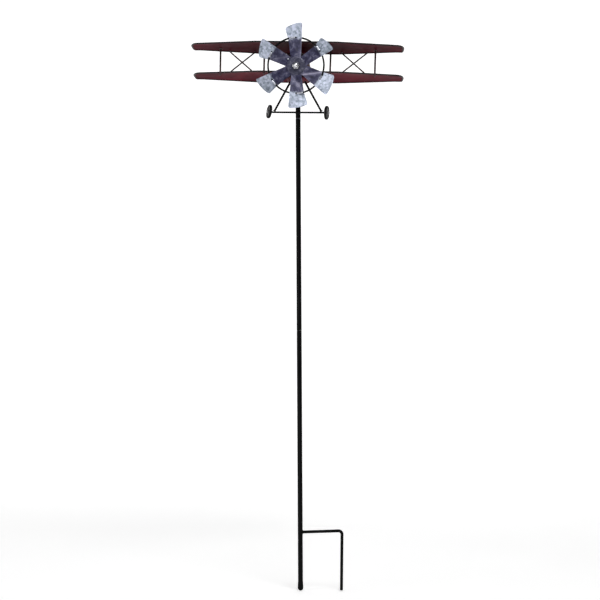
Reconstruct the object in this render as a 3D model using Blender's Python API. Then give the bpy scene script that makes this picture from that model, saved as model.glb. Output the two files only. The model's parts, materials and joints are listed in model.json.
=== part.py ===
"""Biplane whirligig on a two-section garden pole: the plane turns on the pole, its propeller and wheels spin.

Metres, +Z up, nose of the plane towards -Y, origin at the pole's tip.
"""

from math import cos, pi, radians, sin, sqrt, tan

import bmesh
import bpy
from mathutils import Matrix, Vector

GAP = 0.0003  # left between pieces that touch

# pole and foot peg
POLE_R = 0.008
POLE_WALL = 0.0015
POLE_JOINT_Z = 0.838
POLE_TOP_Z = 1.520
PINCH_Z = 0.034
PEG_ROD_R = 0.0049
PEG_ARM_Z = 0.189
PEG_LEG_X = 0.133
PEG_BEND_R = 0.011
PEG_ARM_RISE = 0.0046
PEG_FOOT_Z = 0.002

# pivot on top of the pole
SPINDLE_R = 0.0045
SPINDLE_TOP_Z = 1.672
SPINDLE_PLUG = 0.045
FLANGE = 0.002
WASHER = 0.0015
SLEEVE_TOP_Z = 1.690
BUSH_LENGTH = 0.022
RUNNING_CLEARANCE = 0.0001

# fuselage
AXIS_Z = 1.676  # propeller shaft
BODY_HALF_WIDTH = 0.036
DECK_Z = 1.7225  # top of the fuselage under the wing
TAIL_TOP_Z = 1.716
BELLY_Z = 1.640
NOSE_Y = -0.098
TAIL_Y = 0.385
SHEET = 0.0012
COCKPIT_Y = 0.118
COCKPIT_HALF = (0.017, 0.028)
BEARING_Y = (-0.103, -0.030)
BEARING_R = 0.0075

# tail
TAIL_SHEET = 0.0016
FIN_HEIGHT = 0.070
TAILPLANE_HALF_SPAN = 0.098
TAILPLANE_Y = (0.316, 0.392)
TAILPLANE_SWEEP = (0.008, 0.020)  # how far back the leading edge lies halfway out and at the tip
TAILPLANE_BEND_R = 0.022
FIN_Y = (0.306, 0.352, 0.402)  # foot, crown and rear edge
FIN_BEND_R = (0.030, 0.018)

# wings
CHORD = 0.150
TIP_CHORD = 0.082
CENTRE_HALF_SPAN = 0.129
TIP_FRONT = 0.026  # how far in from its end a tip's rounding starts, along the leading edge
TIP_REAR = 0.005
HALF_SPAN = {"upper": 0.3405, "lower": 0.3385}
WING_Y = {"upper": -0.015, "lower": 0.025}
WING_Z = {"upper": 1.7482, "lower": 1.6596}
INCIDENCE = radians(5.0)
CAMBER = 0.045
TIP_FLATTENING = 0.8
WING_SHEET = 0.002
WING_ROLL = radians(1.4)  # both wings hang a little lower on the right

# struts and bracing
STRUT_R = 0.0030
BRACE_R = 0.0023
STRUT_LAP = 0.008
# row, foot and head along the wings, share of the chord that the head lies aft of its middle
STRUTS = (("inner", 0.1055, 0.1070, 0.12), ("outer", 0.2475, 0.2505, 0.25))
BRACE_SPANS = {"rising": (0.214, 0.141, -1), "falling": (0.146, 0.224, 1)}
BRACE_FOOT = -0.42  # shares of the chord aft of its middle
BRACE_HEAD = 0.43

# landing gear
GEAR_R = 0.003
LEG_R = 0.0034
LEG_FOOT_X = 0.0745
LEG_HEAD_X = 0.0240
AXLE_Z = {"left": 1.5420, "right": 1.5390}  # at each bend; the axle isn't quite level
AXLE_Y = -POLE_R - GEAR_R - GAP
AXLE_HALF = 0.080
STUB = 0.020
WHEEL_ALONG_STUB = 0.013
TOE = {"left": radians(20.0), "right": radians(12.0)}
RISE = {"left": radians(8.0), "right": radians(-4.0)}  # of each stub, bent by hand
TYRE_R = 0.0220
TYRE_WIDTH = 0.008
DISC_R = 0.0138
BOSS_R = 0.0055

# propeller
BLADE_SHEET = 0.0012
HUB_R = 0.029
RING_R = 0.0881
RING_ROD_R = 0.0028
RING_POINTS = 60
RING_CROSSING = -0.004  # where across a blade the ring threads through it
SHAFT_R = 0.005
CREASE_ANGLE = radians(25.0)
CREASE_INNER = Vector((0.0156, 0, 0.030))
CREASE_OUTER = Vector((-0.0244, 0, 0.084))
# leading and trailing corner of each paddle, as distances out from the shaft and across the blade;
# the sheets are cut and bent by hand, so no two are quite alike
TIPS = [
    ((0.1315, 0.0222), (0.1185, -0.0340)),
    ((0.1262, 0.0190), (0.1125, -0.0368)),
    ((0.1315, 0.0390), (0.1216, -0.0316)),
    ((0.1365, 0.0243), (0.1232, -0.0368)),
    ((0.1317, 0.0232), (0.1181, -0.0342)),
    ((0.1318, 0.0216), (0.1155, -0.0344)),
]
BLADES = len(TIPS)
TIP_BULGE = 0.0035
TIP_BEND_R = 0.005
ROTOR_Y = -0.1079  # middle of the blades' sheet at the hub
RIVET_CIRCLE = 0.021
RIVET_R = 0.0019
NUT_HALF_FLATS = 0.0098
NUT_DOME_R = 0.0088
NUT_HEXAGON = 0.0066
SHAFT_BACK_Y = -0.020
SHAFT_IN_NUT = 0.0085
COLLAR_R = 0.0098
COLLAR_LENGTH = 0.006
FRONT_WASHER_R = 0.0128
FRONT_WASHER = 0.0016
SPACER_R = 0.010
SPACER = 0.0018

SIDE = {"left": -1, "right": 1}

# colour, metallic, roughness
FINISHES = {
    "black_paint": ((0.012, 0.012, 0.013), 0.0, 0.32),
    "maroon_paint": ((0.085, 0.018, 0.026), 0.0, 0.38),
    "strut_paint": ((0.045, 0.028, 0.030), 0.0, 0.45),
    "galvanised": ((0.50, 0.55, 0.64), 0.85, 0.42),
    "blued_steel": ((0.050, 0.052, 0.105), 0.75, 0.40),
    "chrome": ((0.78, 0.78, 0.80), 1.0, 0.12),
    "steel": ((0.35, 0.35, 0.36), 1.0, 0.35),
    "nylon": ((0.020, 0.020, 0.021), 0.0, 0.45),
    "rubber": ((0.015, 0.015, 0.016), 0.0, 0.7),
    "wheel_grey": ((0.22, 0.22, 0.23), 0.6, 0.45),
}

MATERIALS = {}


def start_clean():
    for obj in list(bpy.data.objects):
        bpy.data.objects.remove(obj)


def finish(slot):
    if slot not in MATERIALS:
        colour, metallic, roughness = FINISHES[slot]
        material = bpy.data.materials.new(slot)
        material.use_nodes = True
        shader = material.node_tree.nodes["Principled BSDF"]
        shader.inputs["Base Color"].default_value = (*colour, 1.0)
        shader.inputs["Metallic"].default_value = metallic
        shader.inputs["Roughness"].default_value = roughness
        MATERIALS[slot] = material
    return MATERIALS[slot]


def add_object(name, mesh, slot, parent=None, matrix=None):
    obj = bpy.data.objects.new(name, mesh)
    bpy.context.scene.collection.objects.link(obj)
    if not mesh.materials:
        mesh.materials.append(finish(slot))
    if parent is not None:
        obj.parent = parent
    if matrix is not None:
        obj.matrix_local = matrix
    return obj


def mesh_from(name, bm):
    bmesh.ops.recalc_face_normals(bm, faces=bm.faces[:])
    mesh = bpy.data.meshes.new(name)
    bm.to_mesh(mesh)
    bm.free()
    mesh.shade_smooth()
    mesh.set_sharp_from_angle(angle=radians(35.0))
    return mesh


def empty(name, matrix, parent=None):
    obj = bpy.data.objects.new(name, None)
    bpy.context.scene.collection.objects.link(obj)
    obj.parent = parent
    obj.matrix_local = matrix
    return obj


def guide(name, mesh):
    """A cutter: it shapes other pieces and isn't one itself."""
    obj = bpy.data.objects.new(name, mesh)
    bpy.context.scene.collection.objects.link(obj)
    obj.hide_render = True
    obj.display_type = "WIRE"
    return obj


def cut(obj, cutter):
    modifier = obj.modifiers.new("cut", "BOOLEAN")
    modifier.operation = "DIFFERENCE"
    modifier.solver = "EXACT"
    modifier.object = cutter


def rings_to_mesh(name, rings, loop=False):
    """Skins equally long loops of points; the first and last are capped unless the rings make a loop."""
    bm = bmesh.new()
    rows = [[bm.verts.new(p) for p in ring] for ring in rings]
    pairs = list(zip(rows, rows[1:]))
    if loop:
        pairs.append((rows[-1], rows[0]))
    for row, following in pairs:
        for i in range(len(row)):
            j = (i + 1) % len(row)
            bm.faces.new((row[i], row[j], following[j], following[i]))
    if not loop:
        bm.faces.new(rows[0])
        bm.faces.new(rows[-1])
    return mesh_from(name, bm)


def circle(radius, z, sides):
    angles = [2 * pi * k / sides for k in range(sides)]
    return [Vector((radius * cos(a), radius * sin(a), z)) for a in angles]


def turned(name, profile, sides=24):
    """A solid of revolution about Z from (radius, z) points, bottom to top; it may run back down a bore."""
    return rings_to_mesh(name, [circle(r, z, sides) for r, z in profile])


def turned_ring(name, profile, sides=24):
    """The same for a closed profile, which leaves a hole right through."""
    return rings_to_mesh(name, [circle(r, z, sides) for r, z in profile], loop=True)


def washer_mesh(name, inner, outer, thickness, sides=24):
    edge = min(0.0003, thickness / 4)
    return turned_ring(
        name,
        [(inner, 0), (outer - edge, 0), (outer, edge), (outer, thickness - edge), (outer - edge, thickness),
         (inner, thickness)],
        sides,
    )


def swept(name, points, radius, sides=12, loop=False):
    """A round rod along a path, its rings square to the path."""
    points = [Vector(p) for p in points]
    count = len(points)
    rings = []
    side = None
    for k, point in enumerate(points):
        ahead = points[(k + 1) % count] if loop or k + 1 < count else point
        behind = points[k - 1] if loop or k else point
        direction = (ahead - behind).normalized()
        if side is None:
            guess = Vector((0, 1, 0)) if abs(direction.y) < 0.9 else Vector((1, 0, 0))
            side = direction.cross(guess)
        side = (side - direction * side.dot(direction)).normalized()
        other = direction.cross(side)
        angles = [2 * pi * i / sides for i in range(sides)]
        rings.append([point + radius * (cos(a) * side + sin(a) * other) for a in angles])
    return rings_to_mesh(name, rings, loop=loop)


def bend(corner, start, end, radius, steps):
    """Points of a round bend at a corner, from the start direction to the end direction."""
    corner, start, end = Vector(corner), Vector(start), Vector(end)
    incoming, outgoing = (start - corner).normalized(), (end - corner).normalized()
    half = incoming.angle(outgoing) / 2
    centre = corner + (incoming + outgoing).normalized() * radius / sin(half)
    first = corner + incoming * radius / tan(half)
    last = corner + outgoing * radius / tan(half)
    arms = (first - centre).normalized(), (last - centre).normalized()
    turn = arms[0].angle(arms[1])
    points = []
    for k in range(steps + 1):
        t = k / steps
        mixed = (arms[0] * sin((1 - t) * turn) + arms[1] * sin(t * turn)) / sin(turn)
        points.append(centre + radius * mixed)
    return points


def along(point, direction):
    """A matrix that carries +Z to a direction and the origin to a point."""
    return Matrix.Translation(point) @ Vector(direction).to_track_quat("Z", "Y").to_matrix().to_4x4()


# ---- pole -----------------------------------------------------------------------------------------------

def pole_pieces():
    bore = POLE_R - POLE_WALL
    lower = [circle(POLE_R, z, 24) for z in (PINCH_Z, 0.2, POLE_JOINT_Z - 0.0005)]
    lower.append(circle(POLE_R - 0.0005, POLE_JOINT_Z, 24))
    lower.append(circle(bore, POLE_JOINT_Z, 24))
    lower.append(circle(bore, PINCH_Z + 0.004, 24))
    flattening = [(0.0, 0.0016, 0.0008), (0.0035, 0.0056, 0.0016), (0.008, 0.0092, 0.0024),
                  (0.020, 0.0090, 0.0046)]  # height, half width, half depth
    foot = [[Vector((p.x * wide, p.y * deep, z)) for p in circle(1.0, 0.0, 24)]
            for z, wide, deep in flattening]
    add_object("lower_pole", rings_to_mesh("lower_pole", foot + lower), "black_paint")

    start_z = POLE_JOINT_Z + GAP
    upper = [(bore, start_z), (POLE_R - 0.0005, start_z), (POLE_R, start_z + 0.0005),
             (POLE_R, POLE_TOP_Z - 0.0005), (POLE_R - 0.0005, POLE_TOP_Z), (bore, POLE_TOP_Z)]
    add_object("upper_pole", turned_ring("upper_pole", upper), "black_paint")

    plug_r = bore - GAP
    spigot = [(plug_r - 0.001, -0.045), (plug_r, -0.044), (plug_r, 0.044), (plug_r - 0.001, 0.045)]
    place = Matrix.Translation((0, 0, POLE_JOINT_Z))
    add_object("pole_spigot", turned("pole_spigot", spigot), "steel", matrix=place)


def peg():
    leg_lean = 0.002
    inner_end = (POLE_R + GAP, 0, PEG_ARM_Z)
    corner = (PEG_LEG_X + leg_lean, 0, PEG_ARM_Z + PEG_ARM_RISE)
    foot = (PEG_LEG_X - leg_lean / 2, 0, PEG_FOOT_Z)
    points = [inner_end, *bend(corner, inner_end, foot, PEG_BEND_R, 6), foot]
    add_object("step_peg", swept("step_peg", points, PEG_ROD_R, 16), "black_paint")


# ---- pivot ----------------------------------------------------------------------------------------------

def pivot_pieces(plane):
    plug_r = POLE_R - POLE_WALL - GAP
    z = POLE_TOP_Z + GAP
    spindle = [(plug_r - 0.001, z - SPINDLE_PLUG), (plug_r, z - SPINDLE_PLUG + 0.001), (plug_r, z),
               (POLE_R, z), (POLE_R, z + FLANGE), (SPINDLE_R, z + FLANGE), (SPINDLE_R, SPINDLE_TOP_Z - 0.002),
               (SPINDLE_R - 0.002, SPINDLE_TOP_Z)]
    add_object("pivot_spindle", turned("pivot_spindle", spindle), "steel")

    washer_z = z + FLANGE + GAP
    washer = washer_mesh("thrust_washer", SPINDLE_R + RUNNING_CLEARANCE, POLE_R - GAP, WASHER)
    add_object("thrust_washer", washer, "nylon", matrix=Matrix.Translation((0, 0, washer_z)))

    sleeve_z = washer_z + WASHER + GAP
    bore = POLE_R - POLE_WALL
    sleeve = [(bore, sleeve_z), (POLE_R - 0.0005, sleeve_z), (POLE_R, sleeve_z + 0.0005),
              (POLE_R, SLEEVE_TOP_Z - 0.0005), (POLE_R - 0.0005, SLEEVE_TOP_Z), (bore, SLEEVE_TOP_Z)]
    add_object("swivel_sleeve", turned_ring("swivel_sleeve", sleeve), "black_paint", plane)

    bush = washer_mesh("pivot_bush", SPINDLE_R + RUNNING_CLEARANCE, bore - GAP, BUSH_LENGTH)
    for name, z in (("lower_bush", sleeve_z + 0.001), ("upper_bush", SPINDLE_TOP_Z - BUSH_LENGTH - 0.006)):
        add_object(name, bush, "nylon", plane, Matrix.Translation((0, 0, z)))


# ---- fuselage -------------------------------------------------------------------------------------------

# y, half width, belly z, top z, upper and lower corner radius
BODY_STATIONS = [
    (NOSE_Y, 0.0305, 1.6455, 1.7165, 0.0185, 0.020),
    (-0.092, 0.0338, 1.6420, 1.7205, 0.0190, 0.016),
    (-0.080, BODY_HALF_WIDTH, BELLY_Z, DECK_Z, 0.018, 0.012),
    (0.030, BODY_HALF_WIDTH, BELLY_Z, DECK_Z, 0.018, 0.011),
    (0.106, BODY_HALF_WIDTH, 1.6500, DECK_Z, 0.018, 0.010),
    (0.160, 0.0325, 1.6610, 1.7212, 0.017, 0.010),
    (0.240, 0.0225, 1.6765, 1.7180, 0.014, 0.008),
    (0.306, 0.0138, 1.6877, TAIL_TOP_Z, 0.0100, 0.0065),
    (TAIL_Y, 0.0050, 1.7000, TAIL_TOP_Z, 0.0035, 0.0030),
]
ARC_STEPS = 4


def half_section(station, inset):
    """Half of a round-cornered cross-section at x >= 0, from the top seam to the bottom one."""
    y, half, low, top, top_r, low_r = station
    half, low, top = half - inset, low + inset, top - inset
    top_r, low_r = top_r - inset, low_r - inset
    seam = GAP / 2
    points = [(seam, top)]
    quarter = [pi / 2 * k / ARC_STEPS for k in range(ARC_STEPS + 1)]
    points += [(half - top_r + top_r * sin(a), top - top_r + top_r * cos(a)) for a in quarter]
    points += [(half - low_r + low_r * cos(a), low + low_r - low_r * sin(a)) for a in quarter]
    points.append((seam, low))
    return [Vector((x, y, z)) for x, z in points]


def fuselage(plane):
    rings = [half_section(s, 0) + half_section(s, SHEET)[::-1] for s in BODY_STATIONS]
    around_sleeve = [(POLE_R + GAP, BELLY_Z - 0.040), (POLE_R + GAP, BELLY_Z + 0.020)]
    sleeve_hole = guide("sleeve_hole", turned("sleeve_hole", around_sleeve, 24))
    half_x, half_y = COCKPIT_HALF
    rim = [[Vector((p.x * half_x, COCKPIT_Y + p.y * half_y, z)) for p in circle(1.0, 0.0, 24)]
           for z in (DECK_Z - 0.0275, DECK_Z + 0.0075)]
    cockpit_hole = guide("cockpit_hole", rings_to_mesh("cockpit_hole", rim))
    for name, side in SIDE.items():
        sided = [[Vector((side * p.x, p.y, p.z)) for p in ring] for ring in rings]
        title = "fuselage_" + name
        shell = add_object(title, rings_to_mesh(title, sided), "maroon_paint", plane)
        cut(shell, sleeve_hole)
        cut(shell, cockpit_hole)

    outline = half_section(BODY_STATIONS[1], SHEET + GAP)[1:-1]
    outline += [Vector((-p.x, p.y, p.z)) for p in outline[::-1]]
    plate_y = BODY_STATIONS[1][0] + 0.002
    faces = [[Vector((p.x, y, p.z)) for p in outline] for y in (plate_y, plate_y + SHEET)]
    plate = add_object("nose_plate", rings_to_mesh("nose_plate", faces), "maroon_paint", plane)
    around_shaft = [(BEARING_R + GAP, -0.02), (BEARING_R + GAP, 0.02)]
    shaft_hole = guide("shaft_hole", turned("shaft_hole", around_shaft, 24))
    shaft_hole.matrix_world = along((0, plate_y, AXIS_Z), (0, 1, 0))
    cut(plate, shaft_hole)

    length = BEARING_Y[1] - BEARING_Y[0]
    tube = washer_mesh("bearing_tube", SHAFT_R + RUNNING_CLEARANCE, BEARING_R, length)
    add_object("bearing_tube", tube, "steel", plane, along((0, BEARING_Y[0], AXIS_Z), (0, 1, 0)))


def tail(plane):
    """A rounded tailplane lying on the fuselage and a fin standing on it."""
    half = TAILPLANE_HALF_SPAN
    root_y, tip_y = TAILPLANE_Y
    low, high = TAIL_TOP_Z + GAP, TAIL_TOP_Z + GAP + TAIL_SHEET
    shoulder = (half * 0.55, root_y + TAILPLANE_SWEEP[0], 0)
    front, rear = (half, root_y + TAILPLANE_SWEEP[1], 0), (half, tip_y, 0)
    outline = [(0, root_y), shoulder]
    outline += bend(front, shoulder, rear, TAILPLANE_BEND_R, 4)
    outline += bend(rear, front, (0, tip_y, 0), TAILPLANE_BEND_R, 4)
    outline.append((0, tip_y))
    right = [(p[0], p[1]) for p in outline]
    points = right + [(-x, y) for x, y in right[-2:0:-1]]
    layers = [[Vector((x, y, z)) for x, y in points] for z in (low, high)]
    add_object("tailplane", rings_to_mesh("tailplane", layers), "maroon_paint", plane)

    base = high + GAP
    crown_z = base + FIN_HEIGHT
    foot_y, crown_y, rear_y = FIN_Y
    start, crown, back = (0, foot_y, base), (0, crown_y, crown_z), (0, rear_y, base)
    rear_top = (0, rear_y, crown_z)
    side = [Vector(start)]
    side += bend(crown, start, rear_top, FIN_BEND_R[0], 5)
    side += bend(rear_top, crown, back, FIN_BEND_R[1], 4)
    side.append(Vector(back))
    faces = [[p + Vector((x, 0, 0)) for p in side] for x in (-TAIL_SHEET / 2, TAIL_SHEET / 2)]
    add_object("tail_fin", rings_to_mesh("tail_fin", faces), "maroon_paint", plane)


# ---- wings ----------------------------------------------------------------------------------------------

def taper_at(wing, x):
    """0 over the middle of a wing and 1 where its rounded tip begins."""
    end = HALF_SPAN[wing] - TIP_FRONT
    return max(0.0, min(1.0, (abs(x) - CENTRE_HALF_SPAN) / (end - CENTRE_HALF_SPAN)))


def chord_at(wing, x):
    """The wing's chord, without the rounding of its tip."""
    return CHORD + (TIP_CHORD - CHORD) * taper_at(wing, x)


def edge_y(wing, x, side, rounding):
    """Where the leading (side -1) or trailing (side 1) edge lies; a quarter ellipse rounds it at the tip."""
    over = max(0.0, abs(x) - HALF_SPAN[wing] + rounding) / rounding
    return WING_Y[wing] + side * chord_at(wing, x) / 2 * sqrt(max(0.0, 1 - over ** 2))


def wing_height(wing, x, y):
    """Height of the middle of the sheet: an arch that flattens towards the tip, on a chord tipped nose up."""
    full = chord_at(wing, x)
    s = (y - WING_Y[wing]) / full
    arch = CAMBER * (1 - TIP_FLATTENING * taper_at(wing, x))
    middle = WING_Z[wing] - x * tan(WING_ROLL)
    return middle - s * full * tan(INCIDENCE) + arch * full * (1 - 4 * s * s)


def wing_stations(wing, start):
    end = HALF_SPAN[wing] - TIP_FRONT
    inner = [start] + [x for x in (CENTRE_HALF_SPAN, 0.195, 0.262, end) if x > start]
    return inner + [end + TIP_FRONT * sin(radians(a)) for a in (28, 45, 60, 74, 84)]


def wing_panel(name, wing, stations, plane):
    chordwise = 8
    rings = []
    for x in stations:
        front, rear = edge_y(wing, x, -1, TIP_FRONT), edge_y(wing, x, 1, TIP_REAR)
        ys = [front + (rear - front) * k / chordwise for k in range(chordwise + 1)]
        upper = [Vector((x, y, wing_height(wing, x, y) + WING_SHEET / 2)) for y in ys]
        lower = [Vector((x, y, wing_height(wing, x, y) - WING_SHEET / 2)) for y in ys]
        rings.append(upper + lower[::-1])
    return add_object(name, rings_to_mesh(name, rings), "maroon_paint", plane)


def wings(plane):
    half = wing_stations("upper", 0.0)
    wing_panel("upper_wing", "upper", [-x for x in half[:0:-1]] + half, plane)
    panel = wing_stations("lower", BODY_HALF_WIDTH + GAP)
    for name, side in SIDE.items():
        wing_panel("lower_wing_" + name, "lower", [side * x for x in panel], plane)


def strut_ends(foot_x, head_x, top_fraction):
    """Foot in front of the lower wing's leading edge, head under the upper wing, both clear of the sheets."""
    front = edge_y("lower", foot_x, -1, TIP_FRONT)
    edge_z = wing_height("lower", foot_x, front)
    pass_y = front - STRUT_R - WING_SHEET
    top_y = WING_Y["upper"] + chord_at("upper", head_x) * top_fraction
    top_z = wing_height("upper", head_x, top_y) - WING_SHEET / 2
    lean = (top_y - pass_y) / (top_z - edge_z)
    foot = Vector((foot_x, pass_y - lean * STRUT_LAP, edge_z - STRUT_LAP))
    clear = GAP + STRUT_R * lean + 0.0006
    head = Vector((head_x, top_y - lean * clear, top_z - clear))
    return foot, head


def struts(plane):
    for row, foot_x, head_x, fraction in STRUTS:
        for name, side in SIDE.items():
            ends = strut_ends(side * foot_x, side * head_x, fraction)
            title = f"{row}_strut_{name}"
            add_object(title, swept(title, ends, STRUT_R, 12), "strut_paint", plane)


def brace_end(wing, x, fraction, above):
    """A brace wire's end, resting on the lower wing or hanging under the upper one."""
    y = WING_Y[wing] + chord_at(wing, x) * fraction
    offset = WING_SHEET / 2 + GAP + BRACE_R
    return Vector((x, y, wing_height(wing, x, y) + (offset if above else -offset)))


def braces(plane):
    """Two crossed wires in each bay; one passes just in front of the other."""
    shift = Vector((0, BRACE_R + GAP, 0))
    for name, side in SIDE.items():
        for way, (low_x, high_x, sign) in BRACE_SPANS.items():
            low = brace_end("lower", side * low_x, BRACE_FOOT, True) + sign * shift
            high = brace_end("upper", side * high_x, BRACE_HEAD, False) + sign * shift
            title = f"brace_{way}_{name}"
            add_object(title, swept(title, (low, high), BRACE_R, 8), "strut_paint", plane)


# ---- landing gear ---------------------------------------------------------------------------------------

def stub_direction(name):
    level = Vector((SIDE[name] * cos(TOE[name]), -sin(TOE[name]), 0))
    return level * cos(RISE[name]) + Vector((0, 0, sin(RISE[name])))


def gear(plane):
    corners = {name: Vector((SIDE[name] * AXLE_HALF, AXLE_Y, AXLE_Z[name])) for name in SIDE}
    ends = {name: corners[name] + STUB * stub_direction(name) for name in SIDE}
    points = [ends["left"], *bend(corners["left"], ends["left"], corners["right"], 0.012, 3),
              *bend(corners["right"], corners["left"], ends["right"], 0.012, 3), ends["right"]]
    add_object("axle", swept("axle", points, GEAR_R, 16), "black_paint", plane)

    for name, side in SIDE.items():
        foot = Vector((side * LEG_FOOT_X, AXLE_Y, AXLE_Z[name] + GEAR_R + 2 * GAP + LEG_R / 2))
        head = Vector((side * LEG_HEAD_X, AXLE_Y, BELLY_Z - GAP - LEG_R / 2))
        title = "gear_leg_" + name
        add_object(title, swept(title, (foot, head), LEG_R, 16), "black_paint", plane)
        wheel(plane, name, corners[name])


def wheel(plane, name, corner):
    place = along(corner + WHEEL_ALONG_STUB * stub_direction(name), stub_direction(name))
    hub = empty("wheel_axis_" + name, place, plane)
    half = TYRE_WIDTH / 2
    soft = 0.0022
    tyre = [(DISC_R + GAP, -half + 0.001), (TYRE_R - soft, -half), (TYRE_R - soft * 0.3, -half + soft * 0.3),
            (TYRE_R, -half + soft), (TYRE_R, half - soft), (TYRE_R - soft * 0.3, half - soft * 0.3),
            (TYRE_R - soft, half), (DISC_R + GAP, half - 0.001)]
    add_object("tyre_" + name, turned_ring("tyre_" + name, tyre, 32), "rubber", hub)

    bore = GEAR_R + RUNNING_CLEARANCE
    web, rim = 0.0013, 0.0026
    side = [(bore, half - 0.0005), (BOSS_R, half - 0.0005), (BOSS_R + 0.0008, web), (DISC_R - 0.0022, web),
            (DISC_R - 0.0014, rim), (DISC_R, rim)]
    disc = [(r, -z) for r, z in side] + side[::-1]
    add_object("wheel_disc_" + name, turned_ring("wheel_disc_" + name, disc, 32), "wheel_grey", hub)

    thin = 0.001
    washer = washer_mesh("wheel_washer_" + name, bore, BOSS_R + 0.0003, thin, 20)
    inward = place @ Matrix.Translation((0, 0, -half - GAP - thin))
    add_object("wheel_washer_" + name, washer, "steel", plane, inward)

    start = half + GAP
    end = STUB - WHEEL_ALONG_STUB + GAP
    cap = [(GEAR_R + GAP, end), (GEAR_R + GAP, start), (0.0052, start), (0.0055, start + 0.0006),
           (0.0052, end), (0.0040, end + 0.0016), (0.0016, end + 0.0022)]
    add_object("wheel_cap_" + name, turned("wheel_cap_" + name, cap, 20), "steel", plane, place)


# ---- propeller ------------------------------------------------------------------------------------------

def crease_point(u, v):
    """A point of the blade from its outline along the shaft; beyond the slanting crease it comes forward."""
    fold = (CREASE_OUTER - CREASE_INNER).normalized()
    point = Vector((v, 0, u))
    beyond = max(0.0, fold.cross(point - CREASE_INNER).y)
    return point - Vector((0, beyond * tan(CREASE_ANGLE), 0))


def blade_mesh(name, leading, trailing):
    """One blade standing up along +Z: root wedge between the hub plates, twisted arm and broad paddle."""
    root, wedge = 0.0125, tan(pi / BLADES)
    side_gap = 0.0004
    hub_edge = 0.0285
    fold_in, fold_out = (CREASE_INNER.z, CREASE_INNER.x), (CREASE_OUTER.z, CREASE_OUTER.x)
    middle = Vector(((leading[0] + trailing[0]) / 2 + TIP_BULGE, (leading[1] + trailing[1]) / 2, 0))
    flat = [(root, root * wedge - side_gap), (hub_edge, hub_edge * wedge - side_gap), fold_in]
    flat += [(p.x, p.y) for p in bend((*leading, 0), (*fold_in, 0), (*trailing, 0), TIP_BEND_R, 3)]
    flat += [(middle.x, middle.y)]
    flat += [(p.x, p.y) for p in bend((*trailing, 0), middle, (*fold_out, 0), TIP_BEND_R, 3)]
    flat += [fold_out, (hub_edge, -hub_edge * wedge + side_gap), (root, -root * wedge + side_gap)]
    bm = bmesh.new()
    verts = [bm.verts.new(crease_point(u, v)) for u, v in flat]
    first, last = flat.index(fold_in), flat.index(fold_out)
    bm.faces.new(verts[: first + 1] + verts[last:])
    bm.faces.new(verts[first: last + 1])
    return mesh_from(name, bm)


def rotor(plane):
    hub = empty("rotor_axis", Matrix.Translation((0, ROTOR_Y, AXIS_Z)), plane)
    facing = along((0, 0, 0), (0, -1, 0))

    def stack(distance):
        return Matrix.Translation((0, -distance, 0)) @ facing

    ring_forward = -crease_point(RING_R, RING_CROSSING).y
    angles = [2 * pi * k / RING_POINTS for k in range(RING_POINTS)]
    round_hub = [(RING_R * sin(a), -ring_forward, RING_R * cos(a)) for a in angles]
    add_object("rotor_ring", swept("rotor_ring", round_hub, RING_ROD_R, 8, loop=True), "black_paint", hub)
    slot_r = RING_ROD_R + GAP + 0.0001
    slot_cutter = guide("ring_slot", swept("ring_slot", round_hub, slot_r, 8, loop=True))
    slot_cutter.parent = hub

    rivet_cutter = guide("rivet_holes", rivet_hole_mesh())
    rivet_cutter.parent = hub
    for k, (leading, trailing) in enumerate(TIPS):
        turn = Matrix.Rotation(2 * pi * k / BLADES, 4, "Y")
        title = f"blade_{k + 1}"
        piece = add_object(title, blade_mesh(title, leading, trailing), "galvanised", hub, turn)
        thick = piece.modifiers.new("sheet", "SOLIDIFY")
        thick.thickness = BLADE_SHEET
        thick.offset = 0.0
        thick.use_even_offset = True
        cut(piece, slot_cutter)
        cut(piece, rivet_cutter)
        add_object(f"hub_rivet_{k + 1}", rivet_mesh(), "chrome", hub,
                   turn @ Matrix.Translation((0, 0, RIVET_CIRCLE)) @ facing)

    plate = washer_mesh("hub_plate", SHAFT_R + GAP, HUB_R, BLADE_SHEET, 36)
    gap = BLADE_SHEET / 2 + GAP
    for name, distance in (("front_hub_plate", gap), ("rear_hub_plate", -gap - BLADE_SHEET)):
        piece = add_object(name, plate, "blued_steel", hub, stack(distance))
        cut(piece, rivet_cutter)

    front = gap + BLADE_SHEET + GAP
    washer = washer_mesh("front_washer", SHAFT_R + GAP, FRONT_WASHER_R, FRONT_WASHER)
    add_object("front_washer", washer, "blued_steel", hub, stack(front))
    spacer = washer_mesh("spacer_washer", SHAFT_R + GAP, SPACER_R, SPACER)
    add_object("spacer_washer", spacer, "steel", hub, stack(-front - SPACER))

    nut_start = front + FRONT_WASHER + GAP
    add_object("acorn_nut", acorn_nut_mesh(), "chrome", hub, stack(nut_start))
    shaft_back = ROTOR_Y - SHAFT_BACK_Y
    shaft_length = nut_start + SHAFT_IN_NUT - shaft_back
    chamfer = 0.0008
    shaft = [(SHAFT_R - chamfer, 0), (SHAFT_R, chamfer), (SHAFT_R, shaft_length - chamfer),
             (SHAFT_R - chamfer, shaft_length)]
    add_object("rotor_shaft", turned("rotor_shaft", shaft), "steel", hub, stack(shaft_back))
    collar = washer_mesh("shaft_collar", SHAFT_R + GAP, COLLAR_R, COLLAR_LENGTH)
    collar_y = BEARING_Y[1] + GAP + COLLAR_LENGTH
    add_object("shaft_collar", collar, "steel", hub, stack(ROTOR_Y - collar_y))


def rivet_hole_mesh():
    bm = bmesh.new()
    for k in range(BLADES):
        angle = 2 * pi * k / BLADES
        centre = Matrix.Translation((RIVET_CIRCLE * sin(angle), 0, RIVET_CIRCLE * cos(angle)))
        bmesh.ops.create_cone(bm, cap_ends=True, segments=12, radius1=RIVET_R + GAP, radius2=RIVET_R + GAP,
                              depth=0.01, matrix=centre @ Matrix.Rotation(pi / 2, 4, "X"))
    return mesh_from("rivet_holes", bm)


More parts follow.
